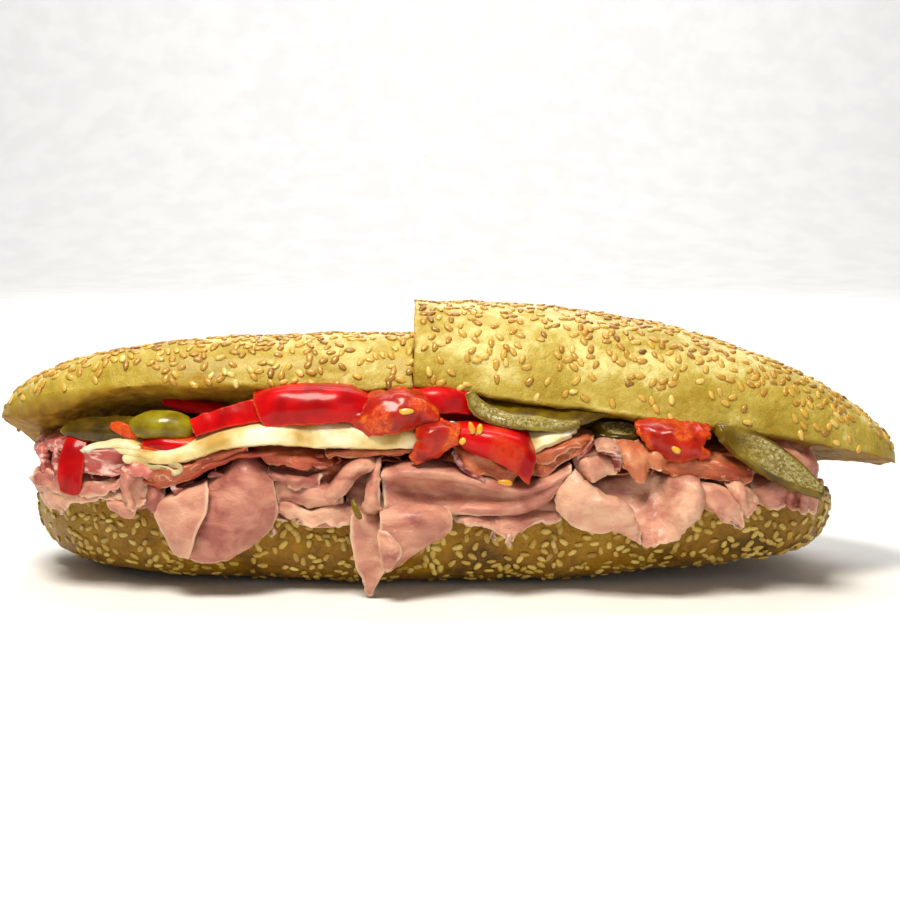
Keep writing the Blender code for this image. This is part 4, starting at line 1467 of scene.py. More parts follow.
# --- what shows at the front ----------------------------------------------------------------------
# Each fold is drawn where it lies on the sandwich: x along the roll, y away from the front, z up.
DRAPE_LEFT = Sheet((
    ((-74, -20, 31), (-66, -20, 36), (-58, -20, 37), (-51, -20, 33)),
    ((-72, -38, 32.5), (-66, -39, 36.5), (-59, -39, 41), (-51.4, -38, 36)),
    ((-72, -43, 27), (-66, -44, 30.5), (-58.4, -45.4, 33.4), (-49.8, -42, 30)),
    ((-73, -44.5, 21), (-66, -46, 22), (-58, -46.5, 23.5), (-50, -42, 23.6)),
    ((-76, -43.5, 15), (-68, -45.5, 14.8), (-61, -45, 16.4), (-53.6, -41.5, 18.8)),
    ((-77, -41, 12), (-71, -42.5, 10.8), (-65, -42.5, 12), (-58.4, -40.5, 15.4)),
), wrinkles=((16.0, 1.0), (5.0, 0.25)), ragged=0.4)
FLAP_LEFT = Sheet((
    ((-85, -26, 28), (-78, -27, 30), (-71, -28, 33)),
    ((-86, -39, 27), (-78, -42, 30.5), (-69.5, -44.5, 33.6)),
    ((-84.5, -41, 22.5), (-77.5, -45, 24.5), (-69.6, -47.5, 27.5)),
    ((-82, -42, 18), (-77.5, -45.5, 18.5), (-72.6, -47.5, 20.5)),
    ((-79.5, -41.5, 13.6), (-77.6, -43.5, 12.9), (-75.3, -45, 12.6)),
), wrinkles=((14.0, 0.8), (4.0, 0.15)), ragged=0.3)
ROLL_SMALL = Sheet((
    ((-37, -22, 30), (-33, -22, 35), (-28.5, -22, 39), (-24, -22, 40), (-21, -22, 38)),
    ((-37.6, -40, 29.6), (-33.4, -42, 34.6), (-28.6, -42, 40), (-24.4, -41, 41.6), (-20.8, -40, 39.6)),
    ((-36.6, -43, 28.6), (-32.6, -46, 32.6), (-28.4, -47, 37.6), (-25, -46.4, 39.4),
     (-22, -44.5, 38.4)),
    ((-34.4, -42, 27.4), (-31.4, -45, 30), (-28.4, -45, 34), (-26.2, -44, 36.4), (-24.6, -42.5, 37)),
), thick=0.9, wrinkles=((6.0, 0.7), (2.6, 0.3)))
ROLL_RIM = Sheet((
    ((-22.6, -38, 38), (-21.4, -41, 40.6), (-20, -41, 41.4)),
    ((-23.4, -43, 34.6), (-21.8, -46.4, 36), (-19.8, -46, 36.6)),
    ((-24.4, -45, 30.4), (-22.6, -48, 31), (-20, -46.6, 31.4)),
    ((-25.4, -44.6, 27.6), (-23, -47.4, 27.4), (-20, -45.6, 28)),
    ((-24.6, -41, 26), (-22.6, -43, 25.6), (-20.4, -42, 26)),
), wrinkles=((3.6, 0.6), (1.8, 0.3)), ragged=0.9)
ROLL_INSIDE = Sheet((
    ((-30, -30, 38), (-26, -30, 39), (-22, -30, 38)),
    ((-31, -36, 32), (-26.6, -38, 33), (-22, -38, 33)),
    ((-30, -40, 27), (-26.4, -41.6, 26.6), (-21, -41, 26.4)),
), wrinkles=((4.0, 0.8), (2.0, 0.3)))
HANGING_TIP = Sheet((
    ((-28, -34, 31), (-24.5, -36, 28), (-20.5, -38, 26.5)),
    ((-28.3, -43, 25), (-24, -43.6, 23.8), (-19.6, -44, 22.5)),
    ((-28.2, -44.6, 17), (-24, -44.4, 16), (-19.2, -46, 15.5)),
    ((-26.7, -43.6, 10), (-23.2, -43.8, 9.2), (-18.7, -45.6, 9.6)),
    ((-25.2, -42.2, 5), (-23, -42.8, 4.6), (-20.1, -43.8, 5.6)),
    ((-24.3, -41, 1.4), (-23.4, -41.5, 0.6), (-22.4, -42, 1.7)),
), thick=0.9, wrinkles=((7.0, 0.8), (2.6, 0.25)), ragged=0.35)
LOBE = Sheet((
    ((-19.8, -40, 31), (-14, -42, 30), (-8, -42, 28.5), (-1, -41, 27.5)),
    ((-20, -47, 25), (-14, -48.5, 25), (-7, -48.5, 25.5), (0.6, -46, 25.5)),
    ((-20, -48, 18), (-15.5, -49.5, 17.5), (-9, -48, 18), (-0.5, -44.5, 20.5)),
    ((-19, -47, 12), (-16.5, -48, 12), (-13, -46, 13), (-7.5, -43, 16)),
    ((-18.6, -45, 8.6), (-17, -45.5, 9), (-14.5, -44, 10.6), (-11, -42, 13.5)),
), wrinkles=((11.0, 0.8), (4.0, 0.2)), ragged=0.35)
CUFF = Sheet((
    ((-20, -48, 22), (-17.5, -49.5, 21), (-15.5, -50, 19.5)),
    ((-20.2, -49.3, 17), (-17, -51.3, 16.2), (-13.8, -50, 15.6)),
    ((-18.8, -48, 10.5), (-17.9, -49.3, 10.3), (-16.6, -49, 11)),
), wrinkles=((5.0, 0.5), (2.0, 0.2)), ragged=0.5)
FOLD_CENTRE = Sheet((
    ((-19, -14, 36), (-11, -14, 37), (-3, -14, 37), (5, -14, 35), (13, -14, 32), (20, -14, 31),
     (27, -14, 33), (33, -14, 36)),
    ((-19.5, -39, 38), (-12, -39, 39.6), (-4, -39, 39.8), (4, -39, 38), (12, -39, 35.4),
     (20, -39, 34.2), (28, -38, 36), (34.5, -38, 39)),
    ((-19.8, -45.4, 36.8), (-12, -46.4, 38), (-4, -46.6, 38), (4, -46.4, 36.2), (12, -46, 34),
     (20, -46, 33), (27.8, -45.5, 34.6), (34.2, -44.5, 38)),
    ((-19.8, -44, 34.8), (-12, -43, 35.6), (-4, -42.6, 35.4), (4, -42.4, 34), (12, -42.6, 32.2),
     (19.6, -44, 31.4), (27, -45, 32.8), (33, -44.5, 36)),
    ((-19.6, -44.6, 31), (-12.6, -40.4, 31.4), (-4, -39.6, 31), (4, -40, 30.4), (12, -41.4, 29.6),
     (19, -44, 29.4), (25.8, -45.6, 30.2), (31, -44.5, 33)),
    ((-19.4, -45.6, 28.4), (-13, -43.4, 27.8), (-4, -43, 27.2), (4, -44.6, 27.2), (12, -45.6, 27),
     (18.4, -46, 26.8), (24, -45.4, 27.4), (28.8, -43.5, 30)),
    ((-18.8, -44, 26.4), (-12, -43.4, 26), (-4, -43.4, 25.8), (4, -44.4, 25.4), (12, -44.6, 25.2),
     (17.8, -44, 25.2), (22.6, -43, 25.8), (27, -41.5, 28)),
), wrinkles=((10.0, 0.8), (3.6, 0.28)), ragged=0.35)
UNDER_CENTRE = Sheet((
    ((0, -34, 27), (6, -34, 26.6), (12, -34, 26.4), (18, -34, 26.4), (25, -34, 26.6), (32, -34, 27)),
    ((0.5, -42, 25.6), (6, -43, 25), (12, -43.5, 24.6), (18, -43.5, 24.6), (25, -42.5, 25),
     (32, -41, 25.6)),
    ((1, -43.5, 24), (6, -45, 22.8), (12, -46, 21), (17, -46.5, 17.8), (22, -44.5, 21.8),
     (32, -42, 24)),
), wrinkles=((5.0, 0.9), (2.2, 0.35)), ragged=1.0)
FLAP_RIGHT = Sheet((
    ((35.4, -41, 38.8), (38.6, -42.6, 35), (43, -43.6, 31.8), (47.6, -44.4, 30), (51.4, -45, 28),
     (52, -45, 24.6), (54, -45, 20.6)),
    ((35, -43, 38.6), (37.6, -46.4, 34.6), (42, -48.8, 31.2), (46.6, -49.6, 29.4),
     (50.6, -49.4, 27.2), (51.8, -48.6, 23.8), (54.2, -46.6, 19.6)),
    ((34.6, -43.6, 38), (34.8, -47, 33), (38, -48.6, 29), (42.6, -48.6, 26.8), (47, -49.6, 24.8),
     (50, -49, 22.4), (54.2, -46.8, 18.6)),
    ((34, -43, 37.6), (31.6, -45.6, 32), (33.6, -47.6, 27.2), (38.4, -47, 24.2), (43.8, -47.8, 22.6),
     (48.4, -47.6, 20.8), (54.3, -46.2, 17.6)),
    ((33.6, -42, 37), (29.8, -43.6, 31), (31, -45.4, 25.6), (36, -45.6, 21.8), (41.6, -46, 20.4),
     (47.6, -46, 20.2), (54.4, -45, 16.8)),
), thick=0.8, wrinkles=((5.0, 0.9), (2.2, 0.4)), ragged=0.9)
POCKET = Sheet((
    ((38, -18, 33), (48, -18, 35.5), (56, -18, 36.5), (62, -18, 36.5), (66, -18, 36.5), (70, -18, 36),
     (72, -18, 34)),
    ((40, -36, 33), (49, -35, 35), (57, -35.4, 36), (62.5, -37, 35.6), (66.5, -42, 35.8),
     (70, -45.4, 35), (72, -43, 33.6)),
    ((43, -40, 28.5), (51, -38.4, 30), (57, -38, 30.6), (61.6, -39.6, 31), (65, -44.6, 32),
     (69.2, -48.6, 31.8), (72.6, -45.5, 31)),
    ((48, -43, 24.5), (53.5, -41.6, 25.4), (57.6, -41.4, 26), (61, -42.4, 26.6), (64, -46, 27.4),
     (68, -49.4, 27.6), (71.4, -46, 26.8)),
    ((52, -44.5, 20.6), (55.5, -44.4, 21), (58.6, -44.6, 21.6), (61.4, -45.6, 22.4), (64, -47.8, 23),
     (66.8, -48.8, 23.4), (69, -46, 23)),
    ((54, -44.5, 17.6), (56.6, -46.8, 17), (59.6, -47.6, 17.2), (62, -47.8, 18), (64, -47.2, 19),
     (66, -46, 20.4), (67.4, -44.5, 21.4)),
), thick=0.8, wrinkles=((6.0, 0.9), (2.4, 0.45)), ragged=1.0)
FRILL_RIGHT = Sheet((
    ((70, -30, 33.5), (75, -30, 34), (80, -30, 33), (84, -30, 30)),
    ((71, -41, 33.4), (75, -43, 32.6), (79.6, -43.5, 30.6), (83.6, -43, 26.8)),
    ((71, -43, 30), (75, -46, 28.6), (79.6, -46, 26.4), (83.8, -44.5, 23.8)),
    ((71, -41, 27.4), (75, -43.5, 25.6), (80, -44, 22.8), (84, -43, 21.4)),
), wrinkles=((4.5, 1.0), (2.0, 0.35)), ragged=0.8)
FAN_RIGHT = Sheet((
    ((78, -34, 35), (80, -34, 36), (82.4, -34, 35.4), (84, -33, 34)),
    ((79.4, -41, 32), (82, -43, 33.6), (84.6, -41, 33), (87, -38, 31.6)),
    ((80.6, -42.5, 28.6), (83.2, -46, 30), (85.6, -42.5, 29.4), (88.2, -40, 29)),
    ((82.4, -42, 25.6), (84.6, -45, 25.2), (86.4, -42, 25.6), (88.8, -39.5, 26.8)),
), wrinkles=((3.2, 1.1), (1.8, 0.45)), ragged=0.9)
CURL_LEFT = Sheet((
    ((-94, -32, 37), (-91.5, -32, 38.6), (-88, -32, 38), (-84.6, -32, 35)),
    ((-94.6, -40, 35.6), (-92, -43, 37.4), (-89.6, -41, 36.6), (-86.4, -39.6, 34)),
    ((-94.4, -41, 31.6), (-92, -45, 32), (-90, -41.6, 30.6), (-87.6, -40, 30)),
    ((-93, -41, 28), (-91.4, -44, 26.6), (-90, -41.8, 26.4), (-88.4, -40.6, 27)),
), thick=0.7, wrinkles=((3.4, 0.9), (1.8, 0.4)), ragged=1.0)
CURL_FAT = Sheet((
    ((-92.6, -38, 39.4), (-89, -38.6, 40.4), (-84.6, -39, 39)),
    ((-93.2, -42, 37.8), (-89.6, -43.6, 38.6), (-84.4, -43, 37.4)),
    ((-92, -43, 36), (-88.6, -44, 36.4), (-85, -43.2, 35.6)),
), thick=0.8, wrinkles=((3.0, 0.9), (1.5, 0.5)), ragged=1.0, step=0.6)
# a ham sheet in the hollow between the left folds; its piece is tinted dark as painted shade
HOLLOW_LEFT = Sheet((
    ((-89, -34, 35), (-86, -34, 36), (-82, -34, 35)),
    ((-89.4, -38, 31.6), (-86, -40.6, 32.6), (-82, -40, 31.6)),
    ((-88.6, -39, 28), (-85.6, -42, 28), (-82.6, -41, 27.4)),
    ((-87, -39.6, 26), (-85, -41.6, 25.4), (-83, -41, 25.6)),
), thick=0.7, wrinkles=((4.0, 0.7), (2.0, 0.3)), ragged=0.7)
POINT_LEFT = Sheet((
    ((-100, -30, 29.4), (-95, -31, 30), (-89, -32, 29.6)),
    ((-99.6, -38.5, 27.4), (-95, -41, 28), (-89.6, -41.5, 27.4)),
    ((-97, -39.5, 25.6), (-93.4, -42.5, 24.8), (-90.4, -42.5, 25)),
    ((-94, -39.5, 24.4), (-92, -41.5, 23.6), (-91, -41.6, 24)),
), wrinkles=((4.0, 0.7), (2.0, 0.3)), ragged=0.5)
TUCK = Sheet((
    ((-52, -20, 34), (-46, -20, 35), (-40, -20, 34), (-34, -20, 32), (-30, -20, 31)),
    ((-51.6, -37, 35.6), (-46, -38, 35), (-40, -39, 34), (-34, -40, 32.4), (-30, -40, 31)),
    ((-50.6, -40.5, 31), (-46, -42, 31), (-40, -43.4, 30.4), (-34, -43, 29.6), (-30, -42, 29.4)),
    ((-49.6, -40, 27.4), (-45, -41, 28.2), (-40, -42, 27), (-34.6, -42, 28), (-30, -41, 28.4)),
), wrinkles=((6.0, 1.0), (2.6, 0.35)), ragged=0.8)
UNDER_LEFT = Sheet((
    ((-51, -33, 27), (-46, -34, 27.6), (-41, -34, 27), (-36, -35, 27), (-31, -36, 27.6),
     (-27, -36, 29)),
    ((-50.4, -39.6, 26), (-46, -42, 27.4), (-41, -42.6, 25.6), (-36, -43, 26.6), (-31, -42.6, 26.8),
     (-27.6, -42, 27.6)),
    ((-49.6, -39.6, 24.6), (-45, -42, 23.6), (-41, -43.6, 21), (-37, -43, 22.4), (-33, -43.4, 21.6),
     (-28.6, -42.4, 22)),
), thick=0.9, wrinkles=((4.6, 1.1), (2.0, 0.4)), ragged=1.0)

THICK = dict(edge=0.85, round=0.35, wrinkles=((8.0, 0.4), (3.0, 0.2)), ragged=0.3)
PEPPER_LARGE = Sheet((
    ((-56, -34, 59), (-48, -35, 60.6), (-38, -36, 61.2), (-30, -36, 60.6), (-24.6, -35, 58.8)),
    ((-56, -40, 58), (-48, -41.4, 60), (-38, -42, 60.6), (-29.6, -42, 59.6), (-23.6, -40.6, 57.2)),
    ((-54.4, -43.2, 54.4), (-47, -44.6, 56), (-38, -45.2, 56.6), (-30, -44.8, 56), (-23.4, -42, 54.6)),
    ((-51.8, -43, 50.6), (-46, -43.8, 51.2), (-38, -44.4, 51.8), (-31, -44, 52), (-24.6, -42, 52.4)),
), thick=2.6, **THICK)
PEPPER_LONG = Sheet((
    ((-74.6, -39.4, 52), (-70, -40, 53.6), (-62, -40.4, 56.2), (-54, -40.4, 58)),
    ((-73.8, -40.8, 50.2), (-69, -41.4, 51.6), (-61.6, -41.6, 53.8), (-53, -41.6, 55.4)),
    ((-72.4, -41.4, 47.8), (-68, -42, 49), (-61, -42.4, 50.8), (-51.8, -42.2, 52.2)),
), thick=1.8, **THICK)
PEPPER_DARK = Sheet((
    ((-84.6, -24, 55.6), (-76, -25, 55.4), (-66.6, -26, 54.4)),
    ((-85, -28, 55.6), (-76, -29.4, 54.8), (-66, -30, 53.6)),
    ((-83, -29, 53.8), (-75, -30, 53), (-67, -30.4, 52.2)),
), thick=2.6, **THICK)
PEPPER_SMALL = Sheet((
    ((-88, -34, 47.4), (-83, -35, 47.6), (-78, -35, 47), (-72, -34, 46.4)),
    ((-88.6, -38.6, 45), (-83, -40, 46), (-78, -40, 45.6), (-70.6, -39.6, 45.4)),
    ((-86, -39.4, 42.6), (-82, -40.6, 43), (-77, -40.8, 43), (-72.6, -40, 43.6)),
), thick=2.0, **THICK)
PEPPER_HANGING = Sheet((
    ((-111, -33, 46.6), (-108, -33.6, 46.8), (-105.2, -33, 46.4)),
    ((-112.2, -36, 43), (-109, -37, 43), (-105.4, -36.6, 43)),
    ((-113, -37, 38), (-109.6, -38.2, 38), (-106, -37.8, 38)),
    ((-113.2, -37.2, 33.6), (-110, -38.4, 33), (-106.6, -38.2, 33)),
    ((-112.6, -37.2, 31), (-110, -37.8, 30.2), (-107.4, -37.8, 30.6)),
), thick=2.2, **THICK)
PEPPER_CENTRE = Sheet((
    ((-12, -30, 60), (-4, -30, 61), (4, -30, 60), (8, -30, 58)),
    ((-11, -36, 58.6), (-4, -37.6, 59.4), (3, -37, 58.6), (7, -35, 56.6)),
    ((-9, -37.6, 54.4), (-4, -39, 54), (1.6, -38.4, 53.6), (6, -36, 53.6)),
), thick=3.0, **THICK)
PEPPER_BENT = Sheet((
    ((2, -38, 50.4), (8, -38.6, 50.6), (14, -39, 50), (20, -39, 49), (23.4, -38.6, 46)),
    ((1, -43.4, 48.8), (8, -45.4, 48.6), (14.4, -46.6, 47.6), (20, -47, 45.6), (23.2, -46, 42)),
    ((3.6, -44.4, 46), (9, -46.6, 45), (14.6, -48, 43.4), (19, -48.4, 41), (22.8, -47.4, 38.4)),
    ((8, -44.2, 43.6), (11, -46, 42.4), (15, -47.6, 40.4), (18.4, -48, 37.6), (22, -47.2, 35)),
), thick=2.8, **THICK)
PEPPER_RIGHT = Sheet((
    ((24, -24, 56), (30, -24.4, 55.6), (37, -24, 54.6)),
    ((23.6, -28, 55), (30, -29, 54.4), (37.4, -28.4, 53.4)),
    ((25, -28.6, 53), (30, -29.6, 52.4), (36, -29, 51.8)),
), thick=2.4, **THICK)
TOMATO = dict(edge=0.3, round=0.8, wrinkles=((6.0, 0.8), (2.6, 0.4)), ragged=1.1, step=0.6)
TOMATO_LEFT = Sheet((
    ((-23, -36, 59.4), (-18, -37, 60), (-13, -37, 60.4), (-8, -37, 59), (-4, -36, 56)),
    ((-24.4, -41, 57.4), (-18, -43, 58.2), (-13, -43.6, 58.4), (-8, -43, 57), (-3.4, -41, 54)),
    ((-26.4, -43, 54.4), (-21, -45.6, 54.4), (-14, -46.2, 54.6), (-8.4, -45, 54), (-3.6, -43, 52)),
    ((-28.8, -43.6, 53), (-22.6, -45.4, 51), (-16, -45.4, 51.4), (-10, -44, 51.6), (-3.4, -42.6, 50.6)),
    ((-24.6, -43.6, 49.6), (-21.6, -44.8, 47.6), (-17, -44.6, 49.4), (-12, -43.6, 50.4),
     (-7, -42.6, 50.8)),
), thick=2.2, **TOMATO)
TOMATO_DRIP = Sheet((
    ((-9, -40, 52.4), (-4.6, -41, 52.4), (-0.6, -41, 51.6), (2.4, -40, 51)),
    ((-10.2, -44.6, 49.4), (-6, -47.2, 49.6), (-1.6, -47, 49.4), (2.6, -45, 49.4)),
    ((-9.8, -45.6, 46.4), (-6.6, -47.6, 46), (-3, -47.2, 45.8), (2, -45.6, 46.4)),
    ((-10.2, -45.2, 43.4), (-8.2, -46.8, 43), (-5.4, -46.6, 43.4), (-1.6, -45.2, 43.8)),
    ((-10, -44.8, 40.6), (-8.8, -45.8, 40), (-7.6, -45.6, 40.8), (-6.4, -44.8, 42)),
), thick=2.0, **TOMATO)
TOMATO_RIGHT = Sheet((
    ((53, -34, 52), (60, -35, 51.8), (67, -35, 51), (74, -35, 50)),
    ((53, -39, 49.6), (60, -41, 49), (66.6, -41, 48), (74.4, -39, 46.8)),
    ((54.6, -40.4, 47), (61, -43, 45.6), (67, -43.4, 45), (72.2, -41, 44.6)),
    ((57.4, -40, 44.4), (62, -42.2, 42.8), (67.6, -42.6, 42.4), (73.8, -41, 42.6)),
    ((60.6, -39.6, 42.6), (64, -41.4, 41), (68.4, -41.6, 40.8), (73, -40.6, 41.4)),
), thick=2.2, **TOMATO)
PICKLE_CENTRE = Sheet((
    ((5.8, -38, 60.4), (8.6, -38.6, 57.4), (12.4, -39.4, 55), (17, -40, 53.4), (23.4, -40.4, 52.6),
     (31, -40, 51.6), (37, -38.6, 51.4)),
    ((5, -39.4, 60), (7, -40.4, 56.2), (10.8, -41.6, 53.4), (15.6, -42.4, 51.9), (22.4, -42.8, 51),
     (30, -42, 50.4), (37, -40, 50.6)),
    ((4.4, -39.4, 59.4), (5.8, -40.6, 55), (9.4, -41.8, 52), (14.2, -42.6, 50.4), (21.4, -43, 49.4),
     (29, -42.2, 49.1), (36.6, -40.2, 49.8)),
), thick=2.2, edge=0.6, round=0.6, wrinkles=((9.0, 0.5), (3.0, 0.15)), ragged=0.2, step=0.6)
PICKLE_LEAF = Sheet((
    ((8, -28, 60), (17, -29, 58), (26, -30, 57), (34, -30, 56.4), (40, -30, 55.6), (44.6, -31, 54.4)),
    ((8.6, -34, 57), (17, -36.4, 54), (26, -38, 52.8), (34, -37.6, 52.6), (40, -36.6, 53),
     (45, -35.6, 53.8)),
    ((9.4, -36, 54), (17.6, -38.4, 51), (26, -40, 48.6), (34, -39.6, 49.4), (40, -38, 51.2),
     (45.4, -36, 53)),
), thick=1.6, edge=0.6, round=0.5, wrinkles=((7.0, 0.6), (2.6, 0.2)), ragged=0.3)
PEPPER_INSIDE = Sheet((
    ((-14, -10, 60), (-2, -10, 60), (10, -10, 58), (22, -10, 57)),
    ((-14, -20, 56), (-2, -21, 56), (10, -21, 54.6), (23, -20, 53)),
    ((-13, -23, 50), (-2, -24, 50), (10, -24, 48.6), (22, -23, 47)),
), thick=2.6, **THICK)
PICKLE_INSIDE = Sheet((
    ((20, -8, 57), (34, -8, 55), (48, -8, 53), (62, -8, 51), (76, -8, 50)),
    ((20, -18, 53), (34, -19, 51), (48, -19, 50), (62, -19, 48.6), (76, -18, 47)),
    ((21, -21, 47), (34, -22, 45.6), (48, -22, 44.6), (62, -22, 43), (75, -21, 42)),
), thick=2.6, **THICK)
PICKLE_FRONT = Sheet((
    ((-88.4, -34, 52.6), (-84.6, -34.6, 53.4), (-80, -34.6, 53), (-76.4, -34, 51.6)),
    ((-92.6, -37, 50), (-86, -39, 50.8), (-79.4, -38.8, 50.2), (-74.2, -37, 48.8)),
    ((-89.4, -37.6, 47), (-85, -39, 46.6), (-80, -38.8, 46.4), (-76.4, -37.6, 46.8)),
), thick=4.4, edge=0.12, round=3.0, wrinkles=((6.0, 0.7), (2.6, 0.15)), ragged=0.2, step=0.6)
PICKLE_BACK = Sheet((
    ((-112, -31, 50), (-106, -32.4, 51.6), (-98, -33, 51.8), (-90, -32, 51.6), (-83, -31, 51)),
    ((-113.6, -34, 48), (-106.6, -36, 48.8), (-98, -37, 49), (-90, -35, 48.6), (-83, -33, 48)),
    ((-111, -34.4, 46.4), (-106, -36, 45.6), (-98, -36.8, 45.6), (-90, -35.4, 45.8), (-84, -33, 45)),
), thick=1.4, edge=0.5, round=0.6, wrinkles=((7.0, 0.6), (2.6, 0.2)), ragged=0.3)
PICKLE_RIGHT = Sheet((
    ((76, -38, 50), (82, -38, 49.4), (88, -38.6, 47.4), (95, -39.6, 43.6), (101, -40.4, 38.6),
     (106.4, -41, 32)),
    ((76.4, -40, 49), (81, -41, 46.6), (86.6, -41.8, 43.6), (93, -42.6, 39.6), (99.4, -43, 35.4),
     (106.6, -43, 31)),
    ((77.6, -41.6, 47), (80.6, -43.4, 43), (85.6, -44.6, 39.4), (91.6, -45.2, 35.6),
     (98, -45.2, 32.6), (105.6, -44.2, 30.2)),
), thick=3.0, edge=0.6, round=0.7, wrinkles=((10.0, 0.4),), ragged=0.12)
CHEESE = dict(edge=0.7, round=0.5, wrinkles=((14.0, 0.5), (3.5, 0.15)), ragged=0.35)
CHEESE_LEFT = Sheet((
    ((-98, -10, 47.6), (-88, -10, 48), (-78, -10, 49), (-66, -10, 51), (-54, -10, 52), (-40, -10, 52),
     (-25, -10, 51), (-9, -10, 49)),
    ((-98, -30, 46.6), (-88, -31, 45.4), (-78, -32, 45.6), (-66, -33, 49.4), (-54, -34, 51.8),
     (-40, -34, 51.6), (-25, -34, 50.6), (-9, -34, 49)),
    ((-99.6, -38, 44.8), (-88, -40.6, 42.2), (-78, -42, 43), (-66, -43, 47.4), (-54, -43.4, 50.4),
     (-40, -43, 50.4), (-25, -42.6, 49.8), (-9, -42, 48.4)),
    ((-95, -38, 43.2), (-87, -42, 39.8), (-78, -43.6, 40), (-66, -44.4, 43.8), (-54, -45.2, 45.8),
     (-40, -45, 45), (-25, -44.6, 44.4), (-9.4, -43, 44)),
), thick=1.8, edge=0.7, round=0.5, wrinkles=((16.0, 0.5), (4.0, 0.12)), ragged=0.3)
CHEESE_TONGUE = Sheet((
    ((-105.6, -36.6, 43.2), (-100, -36, 45.6), (-94, -36, 47), (-89, -36, 46)),
    ((-105.8, -37.6, 42.8), (-100, -38.6, 44.4), (-94, -39.6, 45.4), (-89, -40, 44)),
    ((-105.6, -37.8, 42.4), (-100, -39, 43.6), (-94.6, -40, 44), (-90, -40.6, 42)),
), thick=1.3, **CHEESE)
CHEESE_SPLIT = Sheet((
    ((-93.6, -40, 41.4), (-90, -40.6, 41.8), (-86, -41, 42)),
    ((-94, -41.2, 40.8), (-90, -42, 40.8), (-86, -42.6, 40.8)),
    ((-92.6, -41, 40), (-89.6, -42, 39.6), (-86, -42.4, 39.2)),
), thick=1.3, **CHEESE)
CHEESE_RIGHT = Sheet((
    ((16, -14, 49), (24, -14, 49.6), (30, -14, 49.8), (36, -14, 49.8)),
    ((22, -38, 48.4), (26, -38.6, 48.6), (31, -38.6, 48.8), (36.6, -37, 48.6)),
    ((23, -43, 43), (26, -43.6, 44.4), (30, -43.2, 45.8), (34.6, -41.4, 47.4)),
), thick=1.6, **CHEESE)

THIN = dict(thick=0.6, wrinkles=((6.0, 0.8), (2.6, 0.2)), ragged=0.6)
END_DARK = Sheet((
    ((85.6, -28, 35), (91, -28, 35.6), (98, -28, 34.6)),
    ((86, -38, 32.6), (92, -41, 33.6), (98, -39, 33)),
    ((87.6, -38.6, 29), (92.8, -41.6, 29.6), (97.6, -39, 29)),
    ((90.6, -38, 26.6), (94, -40, 26), (97, -38.6, 26.4)),
), **THIN)
END_FRILL = Sheet((
    ((94, -30, 35), (97, -30, 35.6), (99.6, -30, 35), (102, -29, 35), (104.4, -28, 34.6),
     (106.6, -26, 34), (109, -22, 32)),
    ((95, -38, 32), (97.6, -40.4, 32.6), (99.8, -37, 32), (102, -40, 32.4), (104.6, -35.6, 31.8),
     (106.8, -35, 31.4), (109.2, -29, 30)),
    ((96, -38, 29), (98.2, -41, 29), (100.2, -37.4, 28.8), (102.4, -40.4, 28.8), (104.6, -36, 28.6),
     (106.8, -35.4, 28.4), (108.6, -30, 28)),
    ((97, -37.6, 27), (98.6, -39.8, 25.6), (100.4, -37.4, 26), (102.2, -39.4, 24.8),
     (104.4, -36, 25.4), (106.2, -35, 25.2), (108, -31, 26.4)),
), thick=0.7, wrinkles=((2.8, 0.8), (1.5, 0.4)), ragged=0.9, step=0.6)
PALE_FLAP = Sheet((
    ((34, -30, 43), (38.6, -31, 44.4), (43, -32, 44), (47, -30, 42)),
    ((35, -38, 41), (39, -42.4, 41.4), (44, -39.6, 41.6), (48.4, -41, 40)),
    ((36.2, -40, 38), (40, -44.6, 37.8), (44.6, -41.4, 38.4), (47.8, -43, 37)),
    ((38.6, -41, 35.6), (41, -44.6, 34.6), (45, -42, 35.6), (47, -42.6, 36)),
), **THIN)
CURL_RIGHT = Sheet((
    ((41, -32, 46), (44, -32, 47), (48, -32, 46), (50.6, -32, 43)),
    ((42, -40, 44), (44.6, -42.6, 45), (48, -42.4, 43.6), (49.8, -41, 40.6)),
    ((43, -41, 42.4), (45, -43.6, 43), (47.6, -43.6, 41.6), (48.6, -42.4, 38.6)),
), **THIN)
VEE_RIGHT = Sheet((
    ((46.6, -36, 45.8), (50.4, -37, 46.2), (54.6, -37, 45.8), (59, -36, 44.8)),
    ((47.6, -41, 42.8), (50.6, -43.2, 42.6), (54.8, -42.4, 42.2), (58.6, -40.6, 41.8)),
    ((50, -42.4, 39.4), (52, -44.2, 38.6), (54.8, -43, 38.4), (57.2, -41.4, 38.8)),
    ((52.8, -43.4, 35.8), (53.6, -44.4, 35), (54.8, -44, 35.2), (56, -42.4, 36.2)),
), thick=0.5, wrinkles=((3.4, 0.7), (1.6, 0.3)), ragged=0.8, step=0.6)
VEIL_RIGHT = Sheet((
    ((55, -34, 46), (58.6, -35, 46), (62, -35, 45.4), (66, -34, 44)),
    ((55.6, -39.6, 42), (58.8, -42, 42.4), (62, -40.4, 41.6), (66, -40, 40.4)),
    ((56.6, -40.4, 38.6), (59.4, -42.8, 38), (62, -40.6, 37.6), (65, -40.6, 37.4)),
), thick=0.5, wrinkles=((3.2, 0.8), (1.6, 0.35)), ragged=0.9, step=0.6)
